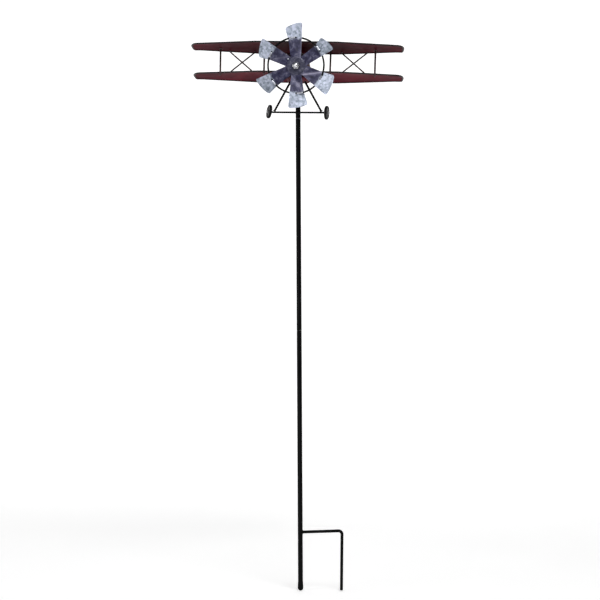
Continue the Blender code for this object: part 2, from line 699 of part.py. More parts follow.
def rivet_mesh():
    """Round head in front of the front plate, shank, and a flatter closed head behind the rear plate."""
    face = BLADE_SHEET * 1.5 + 2 * GAP
    head = RIVET_R * 1.9
    profile = [(head * 0.5, -face - 0.0011), (head * 0.9, -face - 0.0007), (head * 0.9, -face),
               (RIVET_R, -face), (RIVET_R, face), (head, face), (head * 0.85, face + 0.0011),
               (head * 0.4, face + 0.0017)]
    return turned("hub_rivet", profile, 12)


def acorn_nut_mesh():
    """A hexagon with a dome on it and a blind bore behind."""
    flats = [Vector((p.x, p.y, 0)) for p in circle(NUT_HALF_FLATS / cos(pi / 6), 0, 6)]
    bm = bmesh.new()
    sides = 24

    def hexagon(z, shrink):
        ring = []
        for k in range(sides):
            t = k * 6 / sides
            a, b = flats[int(t) % 6], flats[(int(t) + 1) % 6]
            p = a.lerp(b, t - int(t)) * shrink
            ring.append(bm.verts.new((p.x, p.y, z)))
        return ring

    def ring(radius, z):
        return [bm.verts.new(p) for p in circle(radius, z, sides)]

    height, bore = NUT_HEXAGON, SHAFT_R + GAP
    blind_end = SHAFT_IN_NUT + 0.0015
    rows = [ring(bore, blind_end), ring(bore, 0)]
    rows += [hexagon(0, 0.97), hexagon(0.0006, 1.0), hexagon(height, 1.0)]
    for angle in (8, 30, 50, 68, 82):
        out, up = NUT_DOME_R * cos(radians(angle)), NUT_DOME_R * sin(radians(angle))
        rows.append(ring(out, height + 0.0005 + up))
    for row, following in zip(rows, rows[1:]):
        for i in range(sides):
            j = (i + 1) % sides
            bm.faces.new((row[i], row[j], following[j], following[i]))
    bm.faces.new(rows[0])
    bm.faces.new(rows[-1])
    return mesh_from("acorn_nut", bm)


def main():
    start_clean()
    plane = empty("plane_yaw_axis", Matrix.Identity(4))
    pole_pieces()
    peg()
    pivot_pieces(plane)
    fuselage(plane)
    tail(plane)
    wings(plane)
    struts(plane)
    braces(plane)
    gear(plane)
    rotor(plane)


main()
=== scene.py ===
"""Looks of the biplane whirligig: fine meshes and painted-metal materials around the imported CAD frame."""

import json
from math import cos, exp, pi, radians, sin, sqrt, tan

import bmesh
import bpy
from mathutils import Matrix, Quaternion, Vector, noise


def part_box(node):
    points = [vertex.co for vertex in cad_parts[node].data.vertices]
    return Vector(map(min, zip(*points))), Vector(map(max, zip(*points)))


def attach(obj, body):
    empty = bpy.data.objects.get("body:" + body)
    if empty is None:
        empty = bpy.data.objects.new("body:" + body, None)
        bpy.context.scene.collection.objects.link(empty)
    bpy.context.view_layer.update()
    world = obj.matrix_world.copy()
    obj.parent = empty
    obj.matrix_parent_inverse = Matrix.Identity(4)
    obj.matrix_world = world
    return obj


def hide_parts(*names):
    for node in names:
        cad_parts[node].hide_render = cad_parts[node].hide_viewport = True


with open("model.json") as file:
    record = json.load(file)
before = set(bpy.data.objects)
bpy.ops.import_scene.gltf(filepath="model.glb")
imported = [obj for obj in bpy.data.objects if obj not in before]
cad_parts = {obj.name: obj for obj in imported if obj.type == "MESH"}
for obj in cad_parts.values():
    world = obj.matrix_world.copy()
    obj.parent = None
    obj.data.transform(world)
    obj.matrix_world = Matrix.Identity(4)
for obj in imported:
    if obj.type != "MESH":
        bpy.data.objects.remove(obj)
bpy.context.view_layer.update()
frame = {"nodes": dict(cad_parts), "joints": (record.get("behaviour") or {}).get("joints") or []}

# ---- sizes that the looks share with the design
SIDE = {"left": -1, "right": 1}
SHEET = 0.0012
WING_SHEET = 0.002
INCIDENCE = radians(5.0)
CAMBER = 0.045
TIP_FLATTENING = 0.8
CHORD = 0.150
TIP_CHORD = 0.082
CENTRE_HALF_SPAN = 0.129
TIP_FRONT = 0.026
TIP_REAR = 0.005
WING_ROLL = radians(1.4)
RIM_R = 0.0025
TAIL_RIM_R = 0.0017
TAIL_SHEET = 0.0013
STRUT_R = 0.0030
BRACE_R = 0.0023
GEAR_R = 0.003
CREASE_ANGLE = radians(25.0)
CREASE_INNER = Vector((0.0156, 0, 0.030))
CREASE_OUTER = Vector((-0.0244, 0, 0.084))
BLADE_SHEET = 0.0012
SHAFT_BORE = 0.0053  # radius of the holes on the propeller shaft
CHAMFER = 0.0006  # on the cut ends of the tubes
PINCH_LENGTH = 0.034  # the flattened foot of the pole
PINCH_HALF_THICK = 0.0022
PEG_RISE = 0.0044  # how much higher the peg's arm is at its bend
AXLE_BEND_IN = 0.013  # from a wheel's middle to the axle's bend
AXLE_END_OUT = 0.0066
WHEEL_HALF = 0.004
RIM_INNER_R = 0.0139  # where a tyre meets its wheel

UP = Vector((0, 0, 1))


def middle(node):
    low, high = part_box(node)
    return (low + high) / 2


def extent(node):
    low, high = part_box(node)
    return high - low


# ---- mesh tools

def skin(bm, rings, loop=False):
    """Joins equally long rings of points with faces, and closes both ends unless the rings loop."""
    rows = [[bm.verts.new(p) for p in ring] for ring in rings]
    count = len(rows[0])
    pairs = list(zip(rows, rows[1:]))
    if loop:
        pairs.append((rows[-1], rows[0]))
    for row, following in pairs:
        for i in range(count):
            j = (i + 1) % count
            bm.faces.new((row[i], row[j], following[j], following[i]))
    if not loop:
        bm.faces.new(rows[0])
        bm.faces.new(rows[-1])


def ring_points(radius, height, sides):
    return [Vector((radius * cos(2 * pi * k / sides), radius * sin(2 * pi * k / sides), height))
            for k in range(sides)]


def add_turned(bm, profile, sides=64, matrix=Matrix.Identity(4), loop=False):
    """A turned shape from (radius, height) points."""
    rings = [[matrix @ p for p in ring_points(r, z, sides)] for r, z in profile]
    skin(bm, rings, loop=loop)


def add_sweep(bm, points, radius, sides=16, loop=False):
    """A round rod along points; radius is one number or one for each point."""
    points = [Vector(p) for p in points]
    count = len(points)
    radii = radius if isinstance(radius, list) else [radius] * count
    side = None
    rings = []
    for k, point in enumerate(points):
        ahead = points[(k + 1) % count] if loop or k + 1 < count else point
        behind = points[k - 1] if loop or k else point
        direction = (ahead - behind).normalized()
        if side is None:
            guess = Vector((0, 1, 0)) if abs(direction.y) < 0.9 else Vector((1, 0, 0))
            side = direction.cross(guess)
        side = (side - direction * side.dot(direction)).normalized()
        other = direction.cross(side)
        rings.append([point + radii[k] * (cos(2 * pi * i / sides) * side + sin(2 * pi * i / sides) * other)
                      for i in range(sides)])
    skin(bm, rings, loop=loop)


def rounded_profile(points, radius, steps=5):
    """A closed (radius, height) profile with its outer corners rounded."""
    out = []
    count = len(points)
    for k in range(count):
        a, b, c = (Vector((*points[(k + d) % count], 0)) for d in (-1, 0, 1))
        r = min(radius, (a - b).length * 0.45, (c - b).length * 0.45)
        start, end = b + (a - b).normalized() * r, b + (c - b).normalized() * r
        for i in range(steps + 1):
            t = i / steps
            p = (1 - t) ** 2 * start + 2 * t * (1 - t) * b + t * t * end
            out.append((p.x, p.y))
    return out


def along(point, direction):
    return Matrix.Translation(point) @ Vector(direction).to_track_quat("Z", "Y").to_matrix().to_4x4()


def bend(corner, start, end, radius, steps):
    """Points of a round bend at a corner."""
    corner, start, end = Vector(corner), Vector(start), Vector(end)
    incoming, outgoing = (start - corner).normalized(), (end - corner).normalized()
    half = incoming.angle(outgoing) / 2
    centre = corner + (incoming + outgoing).normalized() * radius / sin(half)
    first = (corner + incoming * radius / tan(half) - centre).normalized()
    last = (corner + outgoing * radius / tan(half) - centre).normalized()
    turn = first.angle(last)
    points = []
    for k in range(steps + 1):
        t = k / steps
        points.append(centre + radius * (first * sin((1 - t) * turn) + last * sin(t * turn)) / sin(turn))
    return points


def add_weld(bm, point, direction, radius, bead=0.0014, lumps=9):
    """A lumpy bead of weld round a rod where it meets another piece."""
    place = along(point, direction)
    rings = []
    steps, sides = 48, 10
    for k in range(steps):
        a = 2 * pi * k / steps
        lump = 1 + 0.22 * sin(lumps * a) + 0.25 * noise.noise(Vector((cos(a) * 2, sin(a) * 2, point[0] * 90)))
        size = bead * lump
        rings.append([place @ Vector(((radius + size * cos(b)) * cos(a), (radius + size * cos(b)) * sin(a),
                                      size * 0.8 * sin(b)))
                      for b in (2 * pi * i / sides for i in range(sides))])
    skin(bm, rings, loop=True)


def add_blob(bm, point, direction, long, wide, high):
    """A flattened drop of solder or weld lying on a surface."""
    place = along(point, direction)
    ball = bmesh.ops.create_uvsphere(bm, u_segments=20, v_segments=12, radius=1.0)
    for vert in ball["verts"]:
        p = vert.co.copy()
        rough = 1 + 0.16 * noise.noise(p * 2.1 + Vector(point) * 60)
        vert.co = place @ Vector((p.x * wide * rough, p.y * long * rough, p.z * high * rough))


def piece(name, bm, body, material, slot, replaces=(), sharp=38):
    """Turns a mesh into an object that rides on a body and stands for CAD nodes."""
    bmesh.ops.recalc_face_normals(bm, faces=bm.faces[:])
    mesh = bpy.data.meshes.new(name)
    bm.to_mesh(mesh)
    bm.free()
    mesh.shade_smooth()
    mesh.set_sharp_from_angle(angle=radians(sharp))
    mesh.materials.append(material)
    obj = bpy.data.objects.new(name, mesh)
    bpy.context.scene.collection.objects.link(obj)
    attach(obj, body)
    if replaces:
        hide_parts(*replaces)
    return obj


def rod(name, body, material, slot, points, radius, sides, replaces=(), loop=False):
    bm = bmesh.new()
    add_sweep(bm, points, radius, sides, loop=loop)
    return piece(name, bm, body, material, slot, replaces)


def turned(name, body, material, slot, profile, sides, matrix, replaces, loop=True):
    bm = bmesh.new()
    add_turned(bm, profile, sides, matrix, loop=loop)
    return piece(name, bm, body, material, slot, replaces)


def mark(obj, name, value_at):
    """Stores a number at each vertex for the material to read."""
    attribute = obj.data.attributes.new(name, "FLOAT", "POINT")
    for k, vert in enumerate(obj.data.vertices):
        attribute.data[k].value = value_at(vert.co)


def cut(obj, cutter_bm):
    """Cuts a hole and keeps the result as the piece's own mesh."""
    bmesh.ops.recalc_face_normals(cutter_bm, faces=cutter_bm.faces[:])
    cutter_mesh = bpy.data.meshes.new("cutter")
    cutter_bm.to_mesh(cutter_mesh)
    cutter_bm.free()
    cutter = bpy.data.objects.new("cutter", cutter_mesh)
    bpy.context.scene.collection.objects.link(cutter)
    modifier = obj.modifiers.new("cut", "BOOLEAN")
    modifier.operation = "DIFFERENCE"
    modifier.solver = "EXACT"
    modifier.object = cutter
    bpy.context.view_layer.update()
    result = bpy.data.meshes.new_from_object(obj.evaluated_get(bpy.context.evaluated_depsgraph_get()))
    obj.modifiers.clear()
    obj.data = result
    bpy.data.objects.remove(cutter)
    result.set_sharp_from_angle(angle=radians(38))


# ---- materials

class Surface:
    """A small helper that builds a procedural material out of nodes."""

    def __init__(self, name):
        self.material = bpy.data.materials.new(name)
        self.material.use_nodes = True
        self.tree = self.material.node_tree
        self.shader = self.tree.nodes["Principled BSDF"]
        self.position = self.node("ShaderNodeTexCoord").outputs["Object"]

    def put(self, value, socket):
        """Gives a socket a number, vector or colour, or links an output to it."""
        if isinstance(value, (int, float)):
            socket.default_value = value
        elif isinstance(value, tuple):
            socket.default_value = (*value, 1.0) if socket.type == "RGBA" else value
        else:
            self.tree.links.new(value, socket)

    def node(self, kind, values=None, **settings):
        """A new node with its settings, and values for its sockets."""
        made = self.tree.nodes.new(kind)
        for key, value in settings.items():
            setattr(made, key, value)
        for key, value in (values or {}).items():
            self.put(value, made.inputs[key])
        return made

    def noise(self, scale, detail=4.0, rough=0.55, stretch=None, distortion=0.0):
        place = self.position
        if stretch:
            place = self.node("ShaderNodeMapping", {"Scale": stretch, "Vector": place}).outputs["Vector"]
        values = {"Scale": scale, "Detail": detail, "Roughness": rough, "Distortion": distortion}
        values["Vector"] = place
        return self.node("ShaderNodeTexNoise", values).outputs["Fac"]

    def cells(self, scale):
        return self.node("ShaderNodeTexVoronoi", {"Scale": scale, "Vector": self.position}).outputs["Color"]

    def ramp(self, factor, stops):
        made = self.node("ShaderNodeValToRGB", {"Fac": factor})
        elements = made.color_ramp.elements
        while len(elements) < len(stops):
            elements.new(0.5)
        for element, (place, colour) in zip(elements, stops):
            element.position = place
            element.color = (*colour, 1.0)
        return made.outputs["Color"]

    def step(self, factor, low, high):
        """0 below low and 1 above high."""
        values = {"From Min": low, "From Max": high, "Value": factor}
        return self.node("ShaderNodeMapRange", values, interpolation_type="SMOOTHSTEP").outputs["Result"]

    def spread(self, factor, low, high):
        """Carries 0..1 to a range."""
        values = {"To Min": low, "To Max": high, "Value": factor}
        return self.node("ShaderNodeMapRange", values).outputs["Result"]

    def maths(self, operation, a, b):
        return self.node("ShaderNodeMath", {0: a, 1: b}, operation=operation).outputs["Value"]

    def mix(self, factor, a, b):
        made = self.node("ShaderNodeMix", {"Factor": factor, "A": a, "B": b}, data_type="RGBA")
        return [o for o in made.outputs if o.type == "RGBA"][0]

    def mark(self, name):
        return self.node("ShaderNodeAttribute", attribute_name=name).outputs["Fac"]

    def bump(self, *layers):
        """Layers of (height, distance in metres, strength)."""
        normal = None
        for height, distance, strength in layers:
            values = {"Distance": distance, "Strength": strength, "Height": height}
            if normal is not None:
                values["Normal"] = normal
            normal = self.node("ShaderNodeBump", values).outputs["Normal"]
        self.put(normal, self.shader.inputs["Normal"])

    def finish(self, colour, roughness, metallic=0.0, specular=0.5):
        values = {"Base Color": colour, "Roughness": roughness, "Metallic": metallic,
                  "Specular IOR Level": specular}
        for name, value in values.items():
            self.put(value, self.shader.inputs[name])
        return self.material


def black_powder_coat():
    s = Surface("black_powder_coat")
    cloud = s.noise(9.0, 3.0)
    grain = s.noise(900.0, 2.0)
    scuff = s.step(s.noise(60.0, 8.0, 0.7, stretch=(1.0, 1.0, 0.12)), 0.66, 0.74)
    colour = s.ramp(cloud, [(0.3, (0.0016, 0.0016, 0.0018)), (0.7, (0.0042, 0.0042, 0.0045))])
    colour = s.mix(s.maths("MULTIPLY", scuff, 0.30), colour, (0.050, 0.048, 0.046))
    dust = s.step(s.noise(35.0, 6.0, 0.65), 0.58, 0.82)
    colour = s.mix(s.maths("MULTIPLY", dust, 0.06), colour, (0.10, 0.095, 0.09))
    s.bump((grain, 0.00012, 0.30), (s.noise(160.0, 3.0), 0.0003, 0.20))
    return s.finish(colour, s.spread(cloud, 0.26, 0.42), specular=0.06)


def maroon_enamel():
    """Aged maroon paint: cloudy, streaked along the span; near black with dirt in joints, darker towards the
    rims, and painted shadow of the propeller on the nose.
    """
    s = Surface("maroon_enamel")
    cloud = s.noise(7.5, 5.0, 0.6, distortion=0.4)
    streak = s.noise(26.0, 6.0, 0.6, stretch=(0.25, 1.6, 1.0))
    colour = s.ramp(cloud, [(0.28, (0.040, 0.0024, 0.0070)), (0.5, (0.074, 0.0042, 0.0115)),
                            (0.72, (0.118, 0.0080, 0.0180))])
    haze = s.step(streak, 0.48, 0.72)
    colour = s.mix(s.maths("MULTIPLY", haze, 0.40), colour, (0.100, 0.026, 0.038))
    specks = s.step(s.noise(240.0, 4.0, 0.6), 0.64, 0.70)
    colour = s.mix(s.maths("MULTIPLY", specks, 0.40), colour, (0.012, 0.004, 0.006))
    # the edge mark darkens towards near black: dirt in joints, darker rims, and painted shadow of the
    # propeller on the nose
    edge = s.maths("MULTIPLY", s.mark("edge"), s.spread(s.noise(55.0, 4.0), 0.6, 1.15))
    colour = s.mix(s.step(edge, 0.15, 0.85), colour, (0.0075, 0.0022, 0.0034))
    worn = s.maths("MULTIPLY", s.step(s.noise(95.0, 7.0, 0.7), 0.70, 0.76), s.mark("wear"))
    colour = s.mix(worn, colour, (0.17, 0.125, 0.13))
    s.bump((s.noise(420.0, 3.0), 0.00012, 0.3), (s.noise(38.0, 3.0), 0.0006, 0.22))
    return s.finish(colour, s.spread(s.noise(18.0, 4.0), 0.50, 0.68), specular=0.03)


def blade_metal():
    """Zinc-coated sheet with crystal mottling, heat-blued and smoky on the arms, with painted highlights along
    the leading edges and creases.
    """
    s = Surface("blade_metal")
    tone = s.node("ShaderNodeSeparateColor", {"Color": s.cells(150.0)})
    mottle = s.maths("ADD", s.maths("MULTIPLY", tone.outputs["Red"], 0.35),
                     s.maths("MULTIPLY", s.noise(48.0, 6.0, 0.6), 0.65))
    zinc = s.ramp(mottle, [(0.24, (0.150, 0.180, 0.225)), (0.46, (0.330, 0.375, 0.455)),
                           (0.66, (0.520, 0.555, 0.680))])
    smoke = s.noise(62.0, 6.0, 0.62, distortion=0.5)
    blue = s.ramp(smoke, [(0.28, (0.0060, 0.0060, 0.018)), (0.44, (0.020, 0.019, 0.054)),
                          (0.57, (0.054, 0.053, 0.104)), (0.72, (0.195, 0.190, 0.265))])
    root = s.maths("ADD", s.mark("root"), s.spread(s.noise(95.0, 6.0, 0.65), -0.42, 0.42))
    root = s.step(root, 0.30, 0.72)
    colour = s.mix(root, zinc, blue)
    drips = s.step(s.noise(36.0, 5.0, 0.7, stretch=(2.2, 1.0, 0.6)), 0.58, 0.74)
    colour = s.mix(s.maths("MULTIPLY", drips, 0.40), colour, (0.085, 0.098, 0.135))
    # painted highlight: where the edge mark is high the sheet is lightened towards pale zinc, standing in for
    # light on the leading edge and crease
    bright = s.maths("MULTIPLY", s.mark("edge"), s.spread(s.noise(70.0, 4.0), 0.1, 1.0))
    colour = s.mix(s.maths("MULTIPLY", bright, 0.85), colour, (0.46, 0.44, 0.58))
    rough = s.spread(tone.outputs["Green"], 0.38, 0.56)
    s.bump((s.noise(210.0, 4.0, 0.6), 0.0003, 0.30), (s.noise(42.0, 3.0), 0.0012, 0.30))
    return s.finish(colour, rough, s.spread(root, 0.35, 0.30), specular=0.4)


# name: (noise for the colour, colour stops, (scale, detail, depth, strength) of the bump,
#        (scale, detail, lowest, highest) of the roughness, metallic, specular)
PLAIN_FINISHES = {
    "rim_enamel": ((40.0, 5.0, 0.65), [(0.35, (0.0050, 0.0022, 0.0030)), (0.62, (0.016, 0.0055, 0.0075)),
                                       (0.80, (0.050, 0.014, 0.019))],
                   (300.0, 3.0, 0.0002, 0.3), (60.0, 3.0, 0.36, 0.56), 0.0, 0.25),
    "strut_enamel": ((70.0, 5.0, 0.65, (1.0, 1.0, 0.4)),
                     [(0.30, (0.026, 0.011, 0.013)), (0.55, (0.050, 0.024, 0.027)),
                      (0.78, (0.095, 0.058, 0.060))],
                     (380.0, 3.0, 0.00015, 0.35), (45.0, 3.0, 0.40, 0.60), 0.0, 0.3),
    "hub_metal": ((75.0, 6.0, 0.6, None, 0.6), [(0.28, (0.020, 0.021, 0.040)), (0.50, (0.048, 0.048, 0.085)),
                                                (0.72, (0.130, 0.128, 0.175))],
                  (160.0, 4.0, 0.0003, 0.35), (90.0, 3.0, 0.32, 0.50), 0.35, 0.5),
    "dark_steel": ((120.0, 5.0), [(0.3, (0.010, 0.010, 0.018)), (0.7, (0.035, 0.035, 0.055))],
                   (300.0, 3.0, 0.0002, 0.3), (90.0, 3.0, 0.30, 0.48), 0.4, 0.5),
    "chrome_plate": ((140.0, 3.0), [(0.3, (0.70, 0.70, 0.72)), (0.7, (0.90, 0.90, 0.91))],
                     (500.0, 2.0, 0.0001, 0.12), (120.0, 3.0, 0.07, 0.18), 1.0, 0.5),
    "zinc_steel": ((120.0, 5.0, 0.6), [(0.3, (0.20, 0.20, 0.21)), (0.7, (0.42, 0.42, 0.43))],
                   (600.0, 2.0, 0.0001, 0.3), (80.0, 3.0, 0.28, 0.46), 0.9, 0.5),
    "weld_metal": ((190.0, 5.0, 0.65), [(0.3, (0.035, 0.028, 0.030)), (0.55, (0.10, 0.085, 0.085)),
                                        (0.8, (0.26, 0.24, 0.24))],
                   (420.0, 4.0, 0.0004, 0.5), (90.0, 3.0, 0.35, 0.6), 0.3, 0.5),
    "bright_solder": ((170.0, 4.0), [(0.3, (0.34, 0.36, 0.42)), (0.7, (0.72, 0.73, 0.80))],
                      (380.0, 3.0, 0.0003, 0.35), (90.0, 3.0, 0.2, 0.4), 0.8, 0.5),
    "black_nylon": ((60.0, 3.0), [(0.3, (0.010, 0.010, 0.011)), (0.7, (0.026, 0.026, 0.027))],
                    (500.0, 2.0, 0.0001, 0.2), (50.0, 4.0, 0.42, 0.55), 0.0, 0.3),
    "tyre_rubber": ((150.0, 5.0, 0.65), [(0.35, (0.004, 0.004, 0.0045)), (0.65, (0.011, 0.011, 0.011)),
                                         (0.85, (0.036, 0.035, 0.034))],
                    (700.0, 3.0, 0.0002, 0.4), (90.0, 3.0, 0.50, 0.72), 0.0, 0.12),
    "wheel_paint": ((130.0, 6.0, 0.65), [(0.30, (0.030, 0.030, 0.032)), (0.55, (0.10, 0.10, 0.105)),
                                         (0.78, (0.30, 0.30, 0.31))],
                    (420.0, 3.0, 0.0002, 0.35), (70.0, 3.0, 0.34, 0.52), 0.4, 0.5),
}


def plain_finish(name):
    """Paint, metal or plastic whose colour, grain and gloss each follow one noise."""
    grain, stops, bump, gloss, metallic, specular = PLAIN_FINISHES[name]
    s = Surface(name)
    colour = s.ramp(s.noise(*grain), stops)
    s.bump((s.noise(*bump[:2]), *bump[2:]))
    return s.finish(colour, s.spread(s.noise(*gloss[:2]), *gloss[2:]), metallic, specular)


# ---- pole and pivot

def tube_profile(radius, low, high, wall, lip):
    """A tube's outer skin with its rims drawn in; lip is how far the lower one is."""
    profile = [(radius - wall, low), (radius - lip, low), (radius, low + CHAMFER)]
    profile += [(radius, low + (high - low) * k / 6) for k in range(1, 6)]
    return profile + [(radius, high - CHAMFER), (radius - CHAMFER, high), (radius - wall, high)]


def pole(coat):
    low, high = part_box("lower_pole")
    joint = high.z
    radius = extent("upper_pole").x / 2
    half_wide = (high.x - low.x) / 2
    sides, steps = 72, 26
    rings = []
    for k in range(steps + 1):
        t = k / steps
        flat = 1 - min(1.0, max(0.0, (t - 0.30) / 0.70)) ** 0.8
        tip = sqrt(max(0.0, 1 - (1 - min(1.0, t / 0.30)) ** 2)) if t < 0.30 else 1.0
        wide = (radius + (half_wide - radius) * flat) * max(0.16, tip)
        deep = (radius * (1 - flat) + PINCH_HALF_THICK * flat) * max(0.35, min(1.0, 0.35 + t / 0.12))
        ring = []
        for p in ring_points(1.0, 0, sides):
            lobe = 1 - 0.22 * flat * (1 - abs(p.x)) * min(1.0, t / 0.3)
            ring.append(Vector((p.x * wide, p.y * deep * lobe, low.z + PINCH_LENGTH * t)))
        rings.append(ring)
    rows = [(radius, z) for z in (PINCH_LENGTH + 0.012, 0.12, 0.30, 0.55, joint - CHAMFER)]
    rows += [(radius - CHAMFER * 0.5, joint - 0.0001), (radius - 0.002, joint)]
    rings += [ring_points(r, z, sides) for r, z in rows]
    bm = bmesh.new()
    skin(bm, rings)
    piece("lower_pole_tube", bm, "stand", coat, "black_paint", ["lower_pole", "pole_spigot"])
    start, top = (corner.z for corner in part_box("upper_pole"))
    profile = tube_profile(radius, start, top, 0.0016, CHAMFER * 0.5)
    turned("upper_pole_tube", "stand", coat, "black_paint", profile, sides, Matrix.Identity(4),
           ["upper_pole"])


def peg(coat):
    low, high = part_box("step_peg")
    r = extent("step_peg").y / 2
    pole_r = extent("upper_pole").x / 2
    arm_z = high.z - r - PEG_RISE
    foot_x = high.x - r - 0.0012
    start = Vector((pole_r - 0.002, 0, arm_z))
    corner = Vector((high.x - r, 0, high.z - r))
    foot = Vector((foot_x - 0.0018, 0, low.z))
    path = [start, start.lerp(corner, 0.4)] + bend(corner, start, foot, 0.011, 18)
    path += [foot.lerp(corner, 0.4), foot + UP * 0.002, foot + UP * 0.0006, foot]
    radii = [r] * (len(path) - 2) + [r * 0.97, r * 0.80]
    rod("step_peg_rod", "stand", coat, "black_paint", path, radii, 32, ["step_peg"])
    bm = bmesh.new()
    add_weld(bm, (pole_r * 0.94, 0, arm_z), (1, 0, 0), r + 0.0004, 0.0017, 11)
    piece("step_peg_weld", bm, "stand", coat, "black_paint")


def pivot(coat, steel, plastic):
    for node, material in (("pivot_spindle", steel), ("thrust_washer", plastic), ("lower_bush", plastic),
                           ("upper_bush", plastic)):
        frame["nodes"][node].data.materials.clear()
        frame["nodes"][node].data.materials.append(material)
    low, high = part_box("swivel_sleeve")
    profile = tube_profile((high.x - low.x) / 2, low.z, high.z, 0.0015, CHAMFER)
    turned("swivel_sleeve_tube", "airplane", coat, "black_paint", profile, 72, Matrix.Identity(4),
           ["swivel_sleeve"])


# ---- fuselage

BODY_LOW, BODY_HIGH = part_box("fuselage_right")
BODY_TOP_Z = BODY_HIGH.z
BELLY_Z = BODY_LOW.z
NOSE_Y, TAIL_Y = BODY_LOW.y, BODY_HIGH.y
COCKPIT_Y = 0.118
COCKPIT_HALF = (0.017, 0.028)

# y, half width, belly height above the lowest, top below the highest, upper and lower corner radius
BODY_SHAPE = [
    (NOSE_Y, 0.0305, 0.0055, 0.0060, 0.0185, 0.0200),
    (-0.092, 0.0338, 0.0020, 0.0020, 0.0190, 0.0160),
    (-0.080, 0.0360, 0.0, 0.0, 0.0180, 0.0120),
    (0.030, 0.0360, 0.0, 0.0, 0.0180, 0.0110),
    (0.106, 0.0360, 0.0100, 0.0, 0.0180, 0.0100),
    (0.160, 0.0325, 0.0210, 0.0013, 0.0170, 0.0100),
    (0.240, 0.0225, 0.0365, 0.0045, 0.0140, 0.0080),
    (0.306, 0.0138, 0.0477, 0.0065, 0.0100, 0.0065),
    (TAIL_Y, 0.0050, 0.0600, 0.0065, 0.0035, 0.0030),
]


def body_shape(y):
    """The cross-section's numbers at y, eased between the stations where the side swells or tapers."""
    for a, b in zip(BODY_SHAPE, BODY_SHAPE[1:]):
        if y <= b[0]:
            break
    t = min(1.0, max(0.0, (y - a[0]) / (b[0] - a[0])))
    return [p + (q - p) * t for p, q in zip(a[1:], b[1:])]


def body_section(y, inset, count=40):
    """Half of the cross-section at x >= 0, evenly spaced from the top seam to the bottom one."""
    half, low, top, top_r, low_r = body_shape(y)
    half, low, top = half - inset, BELLY_Z + low + inset, BODY_TOP_Z - top - inset
    top_r, low_r = top_r - inset, low_r - inset
    seam = 0.00015
    quarter = [pi / 2 * k / 12 for k in range(13)]
    line = [(seam, top)]
    line += [(half - top_r + top_r * sin(a), top - top_r + top_r * cos(a)) for a in quarter]
    line += [(half - low_r + low_r * cos(a), low + low_r - low_r * sin(a)) for a in quarter]
    line.append((seam, low))
    lengths = [0.0]
    for p, q in zip(line, line[1:]):
        lengths.append(lengths[-1] + sqrt((p[0] - q[0]) ** 2 + (p[1] - q[1]) ** 2))
    points = []
    k = 0
    for i in range(count):
        want = lengths[-1] * i / (count - 1)
        while k < len(line) - 2 and lengths[k + 1] < want:
            k += 1
        t = (want - lengths[k]) / max(1e-9, lengths[k + 1] - lengths[k])
        points.append(Vector((line[k][0] + (line[k + 1][0] - line[k][0]) * t, y,
                              line[k][1] + (line[k + 1][1] - line[k][1]) * t)))
    return points


PANEL_LINES = (-0.066, 0.058, 0.176, 0.262, 0.330)


def body_top_at(x, y):
    """Height of the fuselage's top skin."""
    half, low, top, top_r, low_r = body_shape(y)
    over = abs(x) - (half - top_r)
    z = BODY_TOP_Z - top
    return z if over <= 0 else z - top_r + sqrt(max(0.0, top_r ** 2 - over ** 2))


